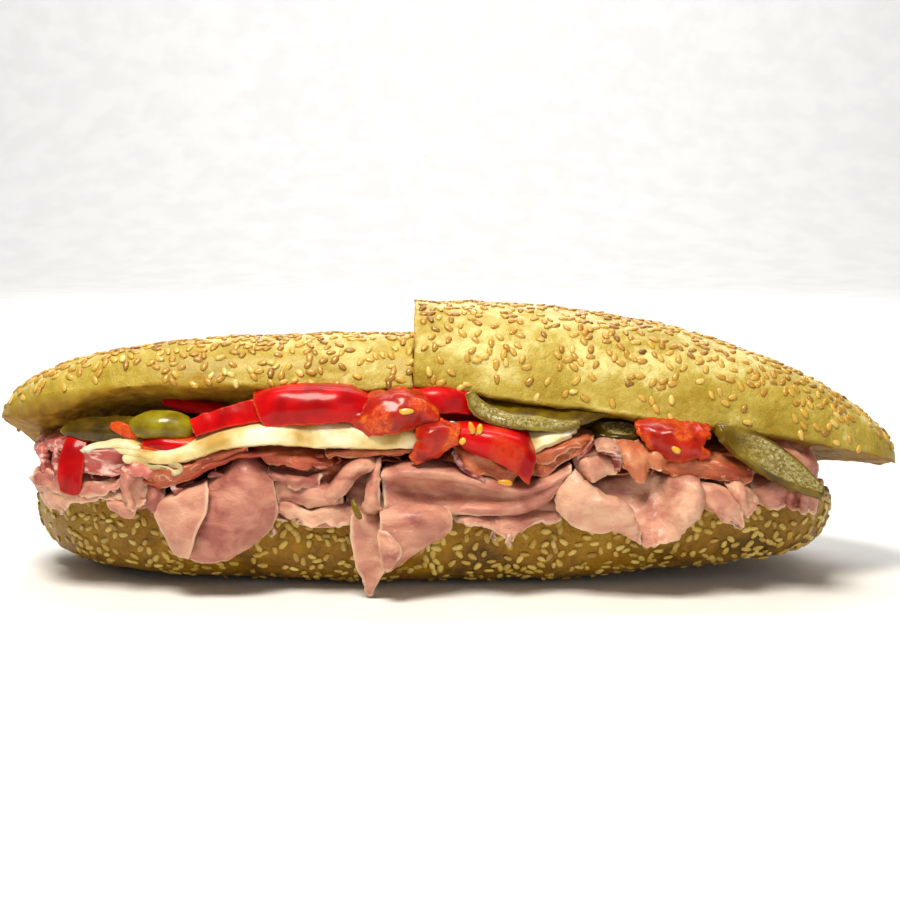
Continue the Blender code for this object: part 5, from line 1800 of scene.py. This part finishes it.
BROAD_RIGHT = Sheet((
    ((58, -22, 42), (65, -22, 42.6), (72, -22, 42.6), (80, -22, 42), (88, -21, 40)),
    ((59, -37, 40.6), (65, -39.4, 41), (72, -38.6, 41), (79, -40, 40.2), (87, -38, 38)),
    ((60, -39.4, 38), (66, -42, 38), (72.4, -40.4, 37.6), (79.4, -42.6, 37), (87, -40, 35.4)),
    ((61, -38.6, 36), (66.6, -41.4, 35.4), (73, -40, 34.8), (80, -41.8, 34.2), (86, -39.6, 33.6)),
), thick=0.6, wrinkles=((4.6, 0.8), (2.0, 0.4)), ragged=0.9)
SWIRL_LEFT = Sheet((
    ((-124, -9, 44), (-120.6, -14, 45.4), (-117.4, -14, 45), (-115, -20, 45.8), (-113, -18, 45.6),
     (-110.6, -24, 46), (-108.6, -24, 45)),
    ((-126, -16, 41), (-121.6, -26, 42), (-118.2, -22, 41.4), (-115.4, -30.6, 42.4),
     (-113.8, -26, 42), (-111, -32, 42.4), (-109, -31, 42)),
    ((-123, -18, 37), (-120, -29, 37.4), (-118.8, -24, 37), (-115.6, -32.4, 37.6),
     (-114.4, -27.6, 37.4), (-111.2, -34, 38), (-109.4, -33, 38)),
    ((-122, -19, 33.6), (-119.4, -29.6, 33), (-118.2, -25, 33.4), (-115.2, -33, 33),
     (-114, -29, 33.4), (-111, -34.6, 34), (-109.6, -34, 34)),
), thick=0.7, wrinkles=((4.0, 0.7), (2.0, 0.35)), ragged=0.9)
SWIRL_TOP = Sheet((
    ((-122, -11, 46.4), (-115, -17, 46.8), (-111, -21, 46.4), (-107, -24, 46)),
    ((-124, -18, 44), (-116, -28, 44.8), (-112, -30, 44.4), (-107.6, -33, 44)),
    ((-123, -20, 41.6), (-116.6, -30, 41.4), (-112.6, -31.6, 41.8), (-108, -34, 42)),
), thick=0.7, wrinkles=((4.0, 1.0), (2.0, 0.5)), ragged=1.0)
BED_LEFT = Sheet((
    ((-124, -17, 35), (-115, -24, 36), (-108, -28, 36), (-101, -30, 36), (-93, -31, 35)),
    ((-125, -26, 33), (-115.6, -33, 32.8), (-108, -36, 32.6), (-101, -37.6, 32.6), (-93, -38.6, 32)),
    ((-120.4, -29.6, 29), (-115, -35, 28.2), (-109, -37.4, 29.6), (-102, -39, 29.8), (-94, -40, 29.6)),
    ((-118.4, -30.6, 25.4), (-114.4, -34.6, 24.6), (-110, -37, 27.6), (-103, -38.8, 28.2),
     (-95.6, -39.8, 28)),
), thick=0.8, wrinkles=((5.0, 1.2), (2.2, 0.5)), ragged=1.2)
BED_RIM = Sheet((
    ((-122.6, -26, 35.6), (-114, -32, 34.6), (-107, -36, 34), (-100, -37.6, 34), (-94, -38, 34.4)),
    ((-123.4, -29.4, 33.2), (-114, -35.4, 32), (-107, -38.4, 31.6), (-100, -40, 32),
     (-94.6, -40.6, 32.8)),
    ((-121.8, -30.4, 31.2), (-113.6, -36, 29.8), (-107.4, -38.8, 29.8), (-101, -40.2, 30.4),
     (-96, -40.8, 31.4)),
), thick=0.7, wrinkles=((4.0, 1.0), (1.9, 0.45)), ragged=1.2)
BOX_LEFT = Sheet((
    ((-106, -26, 43.6), (-100, -26, 45), (-95, -26, 45.4), (-91, -26, 43)),
    ((-106.2, -36.6, 42.4), (-100.6, -38.4, 43.6), (-96, -38.8, 43.6), (-92.6, -36.6, 41.8)),
    ((-107, -37.6, 41), (-100.6, -39.6, 41.4), (-96.6, -40, 41.2), (-92.8, -38, 40.4)),
    ((-107.4, -36.6, 38.6), (-101, -38.6, 38.6), (-97, -39.2, 38.6), (-93, -37.4, 38.6)),
    ((-107.6, -37, 36), (-101, -39.8, 35.6), (-97.6, -40.2, 35.4), (-94, -38, 36.6)),
), thick=0.8, wrinkles=((4.0, 0.5), (1.8, 0.35)), ragged=0.9)
BAND_LOW = Sheet((
    ((-91, -24, 35.4), (-84, -24, 36), (-76, -24, 38), (-68, -24, 41), (-58, -24, 43.4),
     (-47, -24, 43.6), (-36, -24, 43)),
    ((-91, -38.6, 35), (-84, -41, 34.8), (-76, -42.4, 36.8), (-68, -42, 40), (-58, -41.6, 42.8),
     (-47, -40.6, 42.4), (-36, -40, 42)),
    ((-89.6, -39, 33.8), (-83, -41.4, 33), (-76, -42.2, 35), (-68.6, -42, 38.6), (-59, -41.4, 41.6),
     (-47.6, -40, 41), (-37, -39.4, 41)),
), thick=0.9, wrinkles=((5.0, 0.7), (2.0, 0.25)), ragged=0.5)
BAND_MIDDLE = Sheet((
    ((-88, -30, 39), (-82, -32, 40), (-75, -33, 41), (-67, -33, 43.6), (-57, -33, 46)),
    ((-88.4, -41, 38), (-82, -43.2, 38.6), (-75, -43.8, 39.6), (-67, -43, 42.8), (-57, -42.4, 45.2)),
    ((-86.4, -41.6, 35), (-81.4, -43.8, 35.4), (-75.4, -44, 37.4), (-67.6, -43.2, 41),
     (-57.4, -42.4, 44)),
    ((-84.6, -40.8, 33), (-80.4, -43, 33.2), (-74.6, -43, 35.6), (-67.6, -42.2, 39.8),
     (-57.4, -41.6, 43.2)),
), thick=0.9, wrinkles=((5.0, 0.5), (2.0, 0.3)), ragged=0.6)
SLICE_UNDER_CHEESE = Sheet((
    ((-36, -24, 45), (-27, -24, 45), (-18, -24, 44.6), (-9, -24, 44)),
    ((-36, -40, 43.4), (-27, -41.6, 44), (-18, -42, 44), (-9.6, -41, 43.6)),
    ((-35.6, -41, 41.2), (-27, -42.8, 41.8), (-18, -43, 42), (-11, -41.6, 42.8)),
), **THIN)
LIP_HIGH = Sheet((
    ((-54, -34, 44.6), (-47, -35, 44.4), (-40, -35, 43.6), (-34, -34, 42.4)),
    ((-54, -40.6, 42.6), (-47, -42.8, 42.2), (-40, -42.6, 41.4), (-34, -40.6, 40)),
    ((-53, -40.4, 40), (-47, -43, 38.8), (-40.6, -42.6, 38.4), (-34.6, -40.4, 38.8)),
), thick=0.6, wrinkles=((4.0, 0.9), (2.0, 0.4)), ragged=0.9)
LIP_LOW = Sheet((
    ((-53, -36, 38), (-47, -37, 37.4), (-41, -38, 36.8), (-36, -38, 37)),
    ((-52, -41, 36.4), (-46.6, -43.4, 35.6), (-41.4, -43.6, 35), (-36.6, -42, 35.2)),
    ((-50, -40.6, 34.4), (-46, -42.8, 33), (-42, -43.2, 32.6), (-37.4, -42, 33.4)),
), thick=0.6, wrinkles=((3.6, 0.9), (1.8, 0.4)), ragged=0.9)
UNDER_LIP = Sheet((
    ((-52, -32, 44), (-44, -32.4, 43.6), (-36, -32.6, 43.4), (-28, -32, 43)),
    ((-51, -36.4, 40), (-44, -37.4, 39.4), (-36, -37.6, 39.2), (-28, -37, 39)),
    ((-50, -36.8, 36), (-44, -38, 35), (-36, -38.2, 34.8), (-28, -37.4, 35)),
    ((-49, -36, 32.6), (-44, -37.4, 31.4), (-36, -37.4, 31.4), (-29, -36.6, 32)),
), thick=0.6, wrinkles=((4.0, 0.9), (2.0, 0.4)), ragged=0.8)
CURTAIN_RIGHT = Sheet((
    ((92, -26, 45), (97, -27, 44.4), (102, -25, 43.4), (107, -22, 42)),
    ((93, -32, 41), (98, -33.4, 40.4), (103, -31, 39.6), (108.6, -27, 38.4)),
    ((94, -33, 37), (99, -34.2, 36.2), (104, -31.6, 35.4), (109, -27.6, 34.6)),
    ((96, -33, 33.4), (100, -34, 32.6), (104.6, -31.6, 32), (108.6, -28, 31.4)),
), thick=0.7, wrinkles=((4.2, 1.1), (2.0, 0.5)), ragged=0.9)
SLICE_CENTRE = Sheet((
    ((1.6, -30, 46.4), (6, -30, 46), (11, -30, 44.6), (16, -30, 42), (20, -30, 40)),
    ((0.8, -41, 45), (5, -43, 43.6), (10.4, -42, 42.4), (15.6, -43.4, 40), (20, -42, 38)),
    ((1.6, -42.8, 41.4), (5.4, -44.6, 40), (10.6, -43, 39.2), (15.4, -44.6, 37.4), (19, -43, 36.4)),
    ((4, -43.4, 38.6), (7.4, -45, 36.8), (11.4, -43.8, 36), (15, -44.8, 34.8), (18, -43.4, 34.8)),
), **THIN)
SLOPE_RIGHT = Sheet((
    ((23, -26, 42), (28, -26, 44.6), (33, -26, 47), (38, -26, 48), (43, -26, 47.4)),
    ((23, -39, 42), (27, -41, 43), (31.6, -40, 45.6), (36, -41, 46.6), (41, -39, 47)),
    ((23.4, -41, 39), (27, -42.6, 39.4), (31, -41.4, 42), (35.6, -42.2, 43.8), (40, -40, 45.4)),
    ((24, -41.6, 35.6), (27, -43, 35.8), (30.6, -42, 38.4), (34.6, -42.4, 41.2), (38.6, -41, 43.4)),
), thick=0.6, wrinkles=((5.0, 0.5), (2.2, 0.35)), ragged=0.6)
SLOPE_FOLD = Sheet((
    ((24, -36, 45), (29, -36, 46.4), (34, -36, 47.4), (40, -36, 47.6)),
    ((24.6, -41.6, 42.6), (28.6, -43, 43.6), (33.6, -43, 45.4), (39.4, -41.4, 46.2)),
    ((25.2, -42.6, 39.6), (28.8, -44, 40.6), (33.6, -43.8, 43.6), (38.8, -41.8, 45)),
), thick=0.6, wrinkles=((4.0, 0.5), (2.0, 0.3)), ragged=0.7)


# --- the sandwich -------------------------------------------------------------------------------
class Sandwich:
    """The roll and everything in it."""

    BREADS = (
        Bread("roll_base", 0.58, 1),
        Bread("roll_lid_left", 0.19, -1, cut_end=1, shade=0.33, sag=5.0),
        Bread("roll_lid_right", 0.13, -1, cut_end=-1),
    )
    COPPA = (
        "cured_under_left", "cured_left_end", "cured_fold_left", "cured_slice_left", "cured_slope_end",
    )
    DRY_HAM = (
        "cured_rim_centre", "cured_slope_right", "cured_ring_right", "cured_ruffle_right",
        "cured_right_end",
    )

    @staticmethod
    def drawn() -> tuple[Folded, ...]:
        """Every piece whose folds show at the front."""
        ham, pepper, tomato = (Food.HAM, "ham"), (Food.PEPPER, "pepper"), (Food.TOMATO, "tomato")
        pickle, cheese = (Food.PICKLE, "pickle"), (Food.CHEESE, "cheese")
        return (
            Folded("ham_drape_left_fold", *ham, (DRAPE_LEFT,), ("ham_drape_left",), tint=-0.09),
            Folded("ham_pleat_left_fold", *ham, (FLAP_LEFT,), ("ham_pleat_left",), tint=0.08),
            Folded("ham_tuck_middle_fold", *ham, (TUCK,), ("ham_tuck_middle",)),
            Folded(
                "ham_roll_small_fold", *ham, (ROLL_SMALL, ROLL_RIM, ROLL_INSIDE), ("ham_roll_small",),
            ),
            Folded("ham_under_left_fold", *ham, (UNDER_LEFT,), tint=0.12),
            Folded("ham_hanging_tip_fold", *ham, (HANGING_TIP,), ("ham_hanging_tip",), tint=0.05),
            Folded(
                "ham_drape_centre_fold", *ham, (FOLD_CENTRE, LOBE, CUFF, UNDER_CENTRE),
                ("ham_drape_centre",),
            ),
            Folded("ham_flap_right_fold", *ham, (FLAP_RIGHT,), ("ham_flap_right",), tint=0.2),
            Folded("ham_pocket_right_fold", *ham, (POCKET,), ("ham_pocket_right",), tint=0.08),
            Folded(
                "ham_frill_right_fold", *ham, (FRILL_RIGHT, FAN_RIGHT), ("ham_frill_right",), tint=0.08,
            ),
            Folded("ham_frill_end_fold", *ham, (END_DARK, END_FRILL), ("ham_frill_end",)),
            Folded("ham_curl_left_fold", *ham, (CURL_LEFT, POINT_LEFT), ("ham_curl_left",), tint=0.05),
            Folded("ham_bed_left_fold", *ham, (BED_LEFT,), tint=0.14),
            Folded("ham_bed_left_rim", *ham, (BED_RIM,), tint=-0.06),
            # its darker tint is painted shade for the hollow it lies in
            Folded("ham_hollow_left_fold", *ham, (HOLLOW_LEFT,), tint=-0.2),
            Folded("cured_curl_left_fat", Food.COPPA, "cured", (CURL_FAT,), tint=0.2),
            Folded("pepper_large_strip", *pepper, (PEPPER_LARGE,), ("pepper_large",), flesh=0.8),
            Folded("pepper_long_strip", *pepper, (PEPPER_LONG,), ("pepper_long",), flesh=0.3),
            Folded("pepper_dark_strip", *pepper, (PEPPER_DARK,), ("pepper_dark",), flesh=0.2),
            Folded(
                "pepper_small_strip", *pepper, (PEPPER_SMALL,), ("pepper_small",), flesh=0.8, pulpy=0.5,
            ),
            Folded(
                "pepper_hanging_strip", *pepper, (PEPPER_HANGING,), ("pepper_hanging",), flesh=0.3,
                tint=-0.16,
            ),
            Folded("pepper_centre_strip", *pepper, (PEPPER_CENTRE,), ("pepper_centre",), flesh=0.3),
            Folded(
                "pepper_bent_strip", *pepper, (PEPPER_BENT,), ("pepper_bent",), flesh=0.7, pulpy=0.3,
            ),
            Folded("pepper_right_strip", *pepper, (PEPPER_RIGHT,), ("pepper_right",), flesh=0.2),
            Folded("pepper_inside_strip", *pepper, (PEPPER_INSIDE,)),
            Folded("pickle_inside_slice", *pickle, (PICKLE_INSIDE,)),
            Folded(
                "tomato_left_piece", *tomato, (TOMATO_LEFT,), ("tomato_left",), flesh=0.9, cut=2.2,
                pulpy=0.9,
            ),
            Folded(
                "tomato_drip_piece", *tomato, (TOMATO_DRIP,), ("tomato_drip",), flesh=0.9, cut=2.2,
                pulpy=1.0,
            ),
            Folded(
                "tomato_right_piece", *tomato, (TOMATO_RIGHT,), ("tomato_right",), flesh=0.9, cut=2.2,
                pulpy=0.9,
            ),
            Folded(
                "pickle_centre_slice", *pickle, (PICKLE_CENTRE,), ("pickle_centre",), flesh=0.9,
                face=0.9, cut=0.6,
            ),
            # its darker tint is painted shade in the slice's inside under the lid
            Folded("pickle_centre_leaf", *pickle, (PICKLE_LEAF,), tint=-0.12),
            Folded(
                "pickle_right_slice", *pickle, (PICKLE_RIGHT,), ("pickle_right",), face=0.9,
                fade=(79.0, 94.0), tint=-0.06
            ),
            Folded("pickle_front_piece", *pickle, (PICKLE_FRONT,), ("pickle_front",), tint=0.14),
            # its darker tint is painted shade under the lid
            Folded(
                "pickle_back_slice", *pickle, (PICKLE_BACK,), ("pickle_back",), tint=-0.2, flesh=0.5,
                cut=0.5,
            ),
            Folded("pickle_shred", *pickle, (
                shred(
                    ((-27.6, -46, 30), (-27, -47.4, 27.6), (-26, -47.4, 25.4), (-25.6, -46.6, 24.4)),
                    1.8,
                ),
            )),
            Folded("pepper_shreds", *pepper, (
                shred(
                    ((-98, -37.2, 50.2), (-95.4, -38.2, 49.6), (-92, -38.4, 48), (-90, -37.6, 46.6)),
                    3.4, 1.0,
                ),
                shred(((-90, -39.6, 44.6), (-84, -41, 43), (-76, -41.8, 42.6), (-68, -42, 44.6)), 1.6),
            ), flesh=0.9, pulpy=0.9),
            Folded(
                "cheese_left_slice", *cheese, (CHEESE_LEFT, CHEESE_TONGUE, CHEESE_SPLIT),
                ("cheese_left", "cheese_upper")
            ),
            Folded("cheese_shreds", *cheese, (
                shred((
                    (-92, -41, 39.8), (-86, -43, 39.2), (-81, -44, 39), (-78.4, -44.6, 37.6),
                    (-76.6, -44.8, 38.4),
                )),
                shred((
                    (-80.6, -43.6, 39.6), (-77.4, -45, 40), (-76.4, -45, 38.6), (-78, -45, 37.4),
                    (-80, -44.4, 38.2),
                ), 0.6),
                shred(((-101, -38, 44.4), (-104, -38.4, 43.2), (-107, -37.6, 42.6)), 0.9),
                shred(((-95, -39, 44.6), (-90, -40.6, 43), (-86, -41, 43.4)), 0.7),
            )),
            Folded("meat_shreds", Food.COPPA, "cured", (
                shred(
                    ((-78.6, -41, 35.6), (-79.4, -43, 33.8), (-78.4, -43.6, 32.2), (-76.6, -42.6, 32.6)),
                    1.0,
                ),
                shred(((-70, -38, 35), (-68, -41, 36.6), (-64.6, -41.4, 36)), 0.9),
                shred(((-117.6, -30, 33.4), (-116.4, -33, 34.2), (-114.6, -33.6, 32.4)), 1.2),
                shred(((1.4, -43.6, 45), (2.4, -45, 41), (6, -46, 38), (10, -46.4, 35.6)), 0.7),
                shred(
                    ((43, -41, 43.6), (46.4, -43.4, 44.6), (48.6, -43.8, 41.6), (48.2, -43, 37.6)), 0.7,
                ),
                shred(((36, -42, 41), (38.6, -42.6, 44), (41, -41.6, 46.6)), 0.8),
            )),
            Folded("ham_shreds", *ham, (
                shred(
                    ((-117, -31, 29), (-115, -34.4, 26.6), (-113.6, -35, 24.4), (-113.8, -34.4, 23.2)),
                    1.2,
                ),
                shred(((-52.6, -41, 22.4), (-50.6, -41.6, 19.6), (-52, -41, 18.4)), 1.2),
                shred(((12.6, -45.4, 21), (12.2, -46, 19.4), (13.2, -45.8, 18.6)), 0.7),
                shred(((17, -46.4, 20), (16.4, -46.6, 17.8), (17.4, -46.4, 16.6)), 1.0),
                shred(((80, -45, 24), (82, -45.4, 22.4), (83.4, -45, 21.6)), 0.8),
            ), tint=0.15),
            Folded("cheese_right_slice", *cheese, (CHEESE_RIGHT,), ("cheese_right",)),
            Folded("cured_fold_left_fold", Food.COPPA, "cured", (BOX_LEFT,), ("cured_fold_left",)),
            Folded(
                "cured_band_left", Food.DRY_HAM, "cured", (BAND_MIDDLE,), ("cured_slice_left",),
                tint=-0.14,
            ),
            Folded("cured_band_low", Food.SALAMI, "cured", (BAND_LOW,)),
            Folded("cured_lip_high", Food.SALAMI, "cured", (LIP_HIGH,), tint=0.08),
            Folded("cured_under_lip", Food.DRY_HAM, "cured", (UNDER_LIP,), tint=-0.16),
            Folded("cured_right_curtain", Food.HAM, "cured", (CURTAIN_RIGHT,), tint=-0.08),
            Folded("cured_lip_low", Food.HAM, "cured", (LIP_LOW,), tint=-0.1),
            Folded(
                "cured_centre_slice", Food.DRY_HAM, "cured", (SLICE_UNDER_CHEESE,), ("cured_centre",),
            ),
            Folded(
                "cured_rim_centre_slice", Food.DRY_HAM, "cured", (SLICE_CENTRE,), ("cured_rim_centre",),
            ),
            Folded(
                "cured_slope_right_slice", Food.DRY_HAM, "cured", (SLOPE_RIGHT, SLOPE_FOLD),
                ("cured_slope_right",),
            ),
            Folded("ham_frills", *ham, (
                Ruffle((-52, -40, 24), (-29, -41, 23.5), inward=10, fold=7.5, sway=1.6, rise=3),
                Ruffle((86, -38, 31), (97, -35, 29), inward=10, fold=6, heave=2.4),
                Ruffle((95, -35, 29), (109, -27, 28.5), inward=12, fold=5, heave=2.2, rise=4),
                Ruffle((68, -39, 34), (83, -36, 34), inward=14, fold=9),
            )),
            Folded(
                "cured_left_end_fold", Food.COPPA, "cured", (SWIRL_LEFT, SWIRL_TOP),
                ("cured_left_end",),
            ),
            Folded(
                "cured_ring_right_fold", Food.HAM, "cured", (PALE_FLAP, CURL_RIGHT),
                ("cured_ring_right",), tint=0.1,
            ),
            Folded(
                "cured_ruffle_right_fold", Food.DRY_HAM, "cured", (VEE_RIGHT, VEIL_RIGHT),
                ("cured_ruffle_right",), tint=0.12,
            ),
            Folded(
                "cured_slope_end_fold", Food.DRY_HAM, "cured", (BROAD_RIGHT,), ("cured_slope_end",),
                tint=-0.02,
            ),
            Folded(
                "ham_fold_back_fold", *ham,
                (turned(FOLD_CENTRE, 22), turned(LOBE, 26, -1), turned(UNDER_CENTRE, 40)),
                ("ham_fold_back",), tint=0.03,
            ),
            Folded(
                "ham_fold_back_end_fold", *ham,
                (turned(POCKET, 122, -5), turned(FLAP_RIGHT, 122, -5), turned(TUCK, 52, -1)),
                ("ham_fold_back_end",), tint=0.08,
            ),
            Folded("ham_back_drapes", *ham, (
                turned(DRAPE_LEFT, -104), turned(FLAP_LEFT, -104, 1), turned(UNDER_LEFT, -70),
                turned(UNDER_LEFT, -48, 0, 2),
                turned(TUCK, -106), turned(FRILL_RIGHT, -4), turned(FAN_RIGHT, -4),
                turned(END_FRILL, -6, -2),
                turned(UNDER_LEFT, -114, 1), turned(CURL_LEFT, -6),
            ), tint=-0.02),
            Folded(
                "ham_back_bed", *ham,
                (turned(BED_LEFT, -4), turned(BED_RIM, -4), turned(UNDER_CENTRE, 92, -2)), tint=0.1,
            ),
            Folded(
                "cured_back_end", Food.COPPA, "cured",
                (turned(SWIRL_LEFT, -8, -7, -7), turned(BOX_LEFT, -6, -6, -6)),
            ),
            Folded("cured_back_bands", Food.DRY_HAM, "cured", (
                turned(BAND_MIDDLE, -4, -5, -5), turned(BROAD_RIGHT, -6, -4, -4),
                turned(SLOPE_RIGHT, -30, -5, -4),
                turned(BROAD_RIGHT, 30, -3, -4), turned(UNDER_LIP, -88, -3, -1),
            ), tint=-0.06),
            Folded("cured_frills_back", Food.SALAMI, "cured", (
                Ruffle(
                    (-118, 20, 35), (-60, 34, 39), inward=14, fold=17, sway=2.4, heave=2.0, facing=1,
                ),
                Ruffle((-62, 36, 39), (-6, 37, 40), inward=14, fold=19, sway=2.4, heave=2.0, facing=1),
                Ruffle((-8, 38, 41), (54, 39, 41), inward=14, fold=18, sway=2.4, heave=2.0, facing=1),
                Ruffle((52, 38, 39), (106, 26, 36), inward=14, fold=16, sway=2.4, heave=2.0, facing=1),
            )),
            Folded("coppa_frills", Food.COPPA, "cured", (
                Ruffle((-121, -22, 33), (-111, -31, 33.4), inward=12, fold=8, sway=2.6, heave=2.6),
                Ruffle((-107, -35, 36), (-92, -38, 36), inward=14, fold=9, sway=1.6, heave=1.4),
                Ruffle((86, -35, 38), (107, -28, 36), inward=14, fold=9, sway=2.0, heave=2.4),
            )),
            Folded("salami_frills", Food.SALAMI, "cured", (
                Ruffle((-82, -36, 33), (-62, -38, 36), inward=16, fold=11, sway=2.0, heave=2.4),
                Ruffle((-64, -37, 40.6), (-50, -38, 38.6), inward=16, fold=12, sway=2.0, heave=2.0),
                Ruffle((-37, -37, 40.6), (-10, -38, 40.6), inward=16, fold=13, sway=1.6, heave=1.6),
                Ruffle((58, -36, 38), (72, -36, 38), inward=16, fold=9, sway=1.8, heave=2.0),
            )),
            Folded("dry_ham_frills", Food.DRY_HAM, "cured", (
                Ruffle((-8, -37, 42), (28, -37, 37), inward=16, fold=13, sway=1.5, heave=1.6),
                Ruffle((34, -36, 42), (62, -35, 41.6), inward=16, fold=9, sway=2.6, heave=2.2),
                Ruffle((44, -37, 38), (72, -36, 38.4), inward=16, fold=10, sway=2.4, heave=2.2),
            )),
            Folded("middle_slices", Food.SALAMI, "cured", (
                Ruffle(
                    (-112, -14, 31), (100, -14, 31), inward=4, rise=15, fold=17, sway=3.0, heave=2.0,
                    step=1.6,
                ),
            )),
        )

    @staticmethod
    def slices(nodes: Iterable[str]) -> list[Slice]:
        """The slices of ham and cured meat among these nodes."""
        made = []
        for node in nodes:
            if node.startswith("ham_"):
                made.append(Slice(node, Food.HAM, "ham"))
            elif node.startswith("cured_"):
                food = Food.SALAMI
                if node in Sandwich.COPPA:
                    food = Food.COPPA
                elif node in Sandwich.DRY_HAM:
                    food = Food.DRY_HAM
                waves = ((8.0, 1.1), (3.2, 0.45))
                made.append(Slice(node, food, "cured", thin=0.2, wrinkles=waves, ragged=0.7))
        return made

    @staticmethod
    def toppings(nodes: Iterable[str]) -> list[Topping]:
        """The pieces of pickle among these nodes."""
        return [Topping(node) for node in nodes if node.startswith("pickle_")]

    def build(self) -> None:
        """Builds the bread, the filling and what is scattered over them."""
        breads = {}
        for bread in self.BREADS:
            piece = bread.build()
            breads[piece.name] = piece
        drawn = self.drawn()
        done = {node for folded in drawn for node in folded.nodes}
        left = [node for node in sorted(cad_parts) if node not in done]
        filling = [piece.build() for piece in (*drawn, *self.slices(left), *self.toppings(left))]
        rng = np.random.default_rng(SEED)
        SesameSeeds().build(breads, self.surface(filling), rng)
        TomatoSeeds().build()

    @staticmethod
    def surface(pieces: Iterable[bpy.types.Object]) -> BVHTree:
        """One search tree over the surfaces of several pieces."""
        points: list[Vector] = []
        faces: list[tuple[int, ...]] = []
        for piece in pieces:
            start = len(points)
            points += [vert.co for vert in piece.data.vertices]
            faces += [tuple(start + i for i in face.vertices) for face in piece.data.polygons]
        return BVHTree.FromPolygons(points, faces)


def main() -> None:
    """Builds the sandwich and the studio."""
    logging.basicConfig(level=logging.INFO, format="%(name)s: %(message)s")
    noise.seed_set(SEED)  # without it the waves and lumps would follow the clock
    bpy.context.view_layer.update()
    Sandwich().build()
    Studio().build()


if __name__ == "__main__":
    main()
